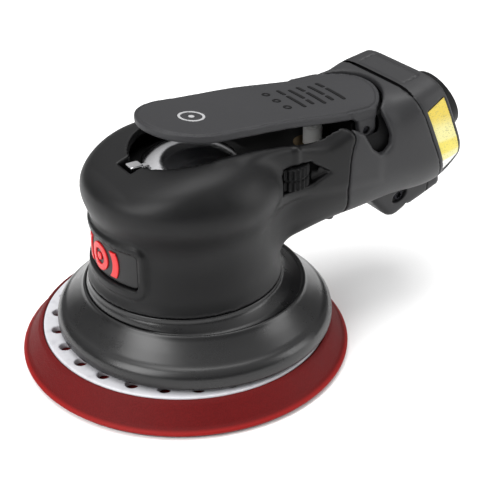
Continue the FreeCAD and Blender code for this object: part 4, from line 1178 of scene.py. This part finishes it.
def side_screws():
    """Six-lobed screw heads in the oval pockets of the fin's sides."""
    def shape(x, y, z):
        out = np.hypot(x - SIDE_X, z - SIDE_Z)
        up = np.abs(y) - FIN_HIGH[1]
        head = rounded_box(out, up + 1.9, 2.3, 1.1, 0.5)
        turn = np.arctan2(z - SIDE_Z, x - SIDE_X)
        star = np.maximum(out - 1.15 - 0.3 * np.cos(6 * turn), -1.7 - up)
        return cut(head, star, 0.1)

    piece = cast("side_screws", shape, (SIDE_X - 2.8, -FIN_HIGH[1] - 0.5, SIDE_Z - 2.8),
                 (SIDE_X + 2.8, FIN_HIGH[1] + 0.5, SIDE_Z + 2.8), 0.2)
    return finish_piece(piece, "housing", "black_steel")


def inlet_collar():
    """Rounded gland ring around the air inlet."""
    outline = [(8.75, -2.5), (15.2, -2.5), (15.2, 2.2), (14.6, 4.0), (12.8, 10.4), (12.0, 11.0),
               (9.6, 11.0), (8.75, 10.2)]
    rounding = (0, 0.4, 0.8, 1.4, 1.4, 0.8, 0.6, 0.5)
    piece = turned("inlet_collar", bowl(outline, rounding), segments=192, base=INLET, lean=REAR_LEAN)
    return finish_piece(piece, "housing", "dark_plastic", "inlet_collar")


def inlet_bushing():
    """Threaded steel bushing: the bore's thread is cut as a row of rings."""
    outline = [(6.3, -16.0), (8.6, -16.0), (8.6, 10.0), (8.2, 10.4), (6.8, 10.4)]
    pitch = 1.3
    turns = 14
    for turn in range(turns):
        level = 9.8 - turn * pitch
        outline += [(6.62, level), (6.14, level - pitch / 2)]
    rounding = [0, 0, 0.3, 0.2, 0.2] + [0.0] * (2 * turns)
    piece = turned("inlet_bushing", bowl(outline, rounding), segments=128, base=INLET, lean=REAR_LEAN)
    return finish_piece(piece, "housing", "machined_steel", "inlet_bushing")


def lever_pin():
    half = PIN_HIGH[1] - 1.2
    outline = [(0.01, -half), (1.2, -half), (1.5, -half + 0.3), (1.5, half - 0.3), (1.2, half), (0.01, half)]
    piece = turned("lever_pin", bowl(outline, (0, 0.1, 0.1, 0.1, 0.1, 0)), segments=64)
    points = np.array([tuple(v.co) for v in piece.data.vertices])
    moved = np.stack([points[:, 0] + PIN_X * MM, points[:, 2], points[:, 1] + PIN_Z * MM], 1)
    piece.data.vertices.foreach_set("co", moved.ravel())
    recalculate(piece)
    sharpen(piece, 35)
    # painted shade: the pin takes dark black steel so that it reads dark like the shade inside the ear's hole
    return finish_piece(piece, "housing", "black_steel", "lever_pin")


# ---------------------------------------------------------------- lever, valve and dial


def lever():
    low = LEVER_LOW - 0.8
    high = LEVER_HIGH + 0.8
    piece = cast("throttle_lever", throttle_lever, low, high, LEVER_STEP)
    return finish_piece(piece, "lever", "lever_plastic", "throttle_lever")


def lever_mark():
    """Generic ring and dot let into the lever's front."""
    def shape(x, y, z):
        out = np.hypot(x - MARK_X, y)
        ring = np.minimum(np.abs(out - MARK_R) - 0.5, out - 1.15)
        under = LEVER_TOP(x) - z
        return meet(ring, slab(under - 0.2, 0.18), 0.1)

    top = LEVER_HIGH[2]
    piece = cast("lever_mark", shape, (-1.5, -5.6, top - 4.5), (10, 5.6, top - 1.5), 0.2)
    return finish_piece(piece, "lever", "mark_grey", "lever_mark")


BAR_ROWS = (47.0, 51.5, 56.0, 60.5, 65.0)


def lever_bars():
    """Low raised bars and small rings across the lever's middle."""
    def shape(x, y, z):
        up = z - lever_skin(x, y)
        flat = np.hypot(x - 40.5, np.abs(np.abs(y) - 3.6) - 3.6)
        flat = np.abs(flat - 1.25) - 0.4
        for row, middle in enumerate(BAR_ROWS):
            half = 9.5 - 1.3 * (row % 2)
            bar = rounded_box(x - middle, y, 0.75, half, 0.7)
            flat = np.minimum(flat, np.maximum(bar, 0.8 - np.abs(y - half * 0.35 * (-1) ** row)))
        return meet(flat, slab(up, 0.22), 0.1)

    piece = cast("lever_bars", shape, (38, -10.5, DECK + 77.6), (67, 10.5, DECK + 82.0), 0.25)
    return finish_piece(piece, "lever", "dark_plastic", "throttle_lever")


def speed_dial():
    """Knurled wheel with rounded teeth, a chamfered rim and a dished face."""
    low, high = DIAL_HIGH[2] - DIAL_TALL, DIAL_HIGH[2]

    def shape(x, y, z):
        out = np.hypot(x - DIAL_X, y - DIAL_Y)
        turn = np.arctan2(y - DIAL_Y, x - DIAL_X)
        rim = out - DIAL_R + 0.42 - 0.36 * np.cos(DIAL_TEETH * turn)
        wheel = meet(rim * 0.8, slab(z - (low + high) / 2, (high - low) / 2), 0.8)
        dish = np.maximum(out - 5.2, high - 0.7 - z)
        band = np.maximum(DIAL_R - 0.9 - out, slab(z - (low + high) / 2, 0.45))
        wheel = cut(cut(wheel, dish, 0.4), band, 0.3)
        stem = np.maximum(out - 1.8, np.maximum(DIAL_LOW[2] - z, z - low - 1))
        return join(wheel, stem, 0.3)

    piece = cast("speed_dial", shape, DIAL_LOW - 0.6, DIAL_HIGH + 0.6, 0.33)
    return finish_piece(piece, "dial", "dark_plastic", "speed_dial")


def valve_stem():
    low, high = STEM_LOW[2], STEM_HIGH[2] + STEM_RISE
    r = (STEM_HIGH[0] - STEM_LOW[0]) / 2
    outline = [(0.01, low), (r, low), (r, high - 2.6), (r - 0.5, high - 2.3), (r - 0.5, high - 1.6),
               (r, high - 1.3), (r - 0.2, high - 0.2), (r - 0.9, high), (0.01, high)]
    piece = turned("valve_stem", bowl(outline, (0, 0, 0.2, 0.2, 0.2, 0.3, 0.4, 0.3, 0)), (STEM_X, 0), 96)
    return finish_piece(piece, "valve", "stem_white", "valve_stem")


SPRING_WIRE = 0.5
SPRING_TURNS = 4
SPRING_SIDES = 12


def valve_spring():
    """Wound coil under the valve disc."""
    low, high = node_box("valve_spring")
    middle = (low + high) / 2
    radius = (high[0] - low[0]) / 2 - SPRING_WIRE
    count = 32 * SPRING_TURNS + 1
    turn = np.linspace(0, 2 * math.pi * SPRING_TURNS, count)[:, None]
    level = np.linspace(low[2] + SPRING_WIRE, high[2] - SPRING_WIRE, count)[:, None]
    side = np.linspace(0, 2 * math.pi, SPRING_SIDES, endpoint=False)[None, :]
    out = radius + SPRING_WIRE * np.cos(side)
    points = np.stack([middle[0] + out * np.cos(turn), middle[1] + out * np.sin(turn),
                       level + SPRING_WIRE * np.sin(side)], 2).reshape(-1, 3)
    faces = []
    for i in range((count - 1) * SPRING_SIDES):
        row, j = divmod(i, SPRING_SIDES)
        beside = row * SPRING_SIDES + (j + 1) % SPRING_SIDES
        faces.append((i, beside, beside + SPRING_SIDES, i + SPRING_SIDES))
    faces.append(tuple(range(SPRING_SIDES - 1, -1, -1)))
    faces.append(tuple(range(len(points) - SPRING_SIDES, len(points))))
    piece = mesh_piece("valve_spring", points, faces)
    recalculate(piece)
    sharpen(piece, 35)
    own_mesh(piece)
    return finish_piece(piece, "housing", "machined_steel", "valve_spring")


# ---------------------------------------------------------------- making

GRIP_STEP = 0.8
LEVER_STEP = 0.55

studio()
for make in (pad_foam, pad_plate, hook_face, shroud, grip, rear, cap, rating_label, crown_cap, key_rib,
             badge_plate, badge_mark, exhaust_block, exhaust_plug, exhaust_screws, side_screws,
             inlet_collar, inlet_bushing, lever_pin, lever, lever_mark, lever_bars, speed_dial,
             valve_stem, valve_spring):
    make()
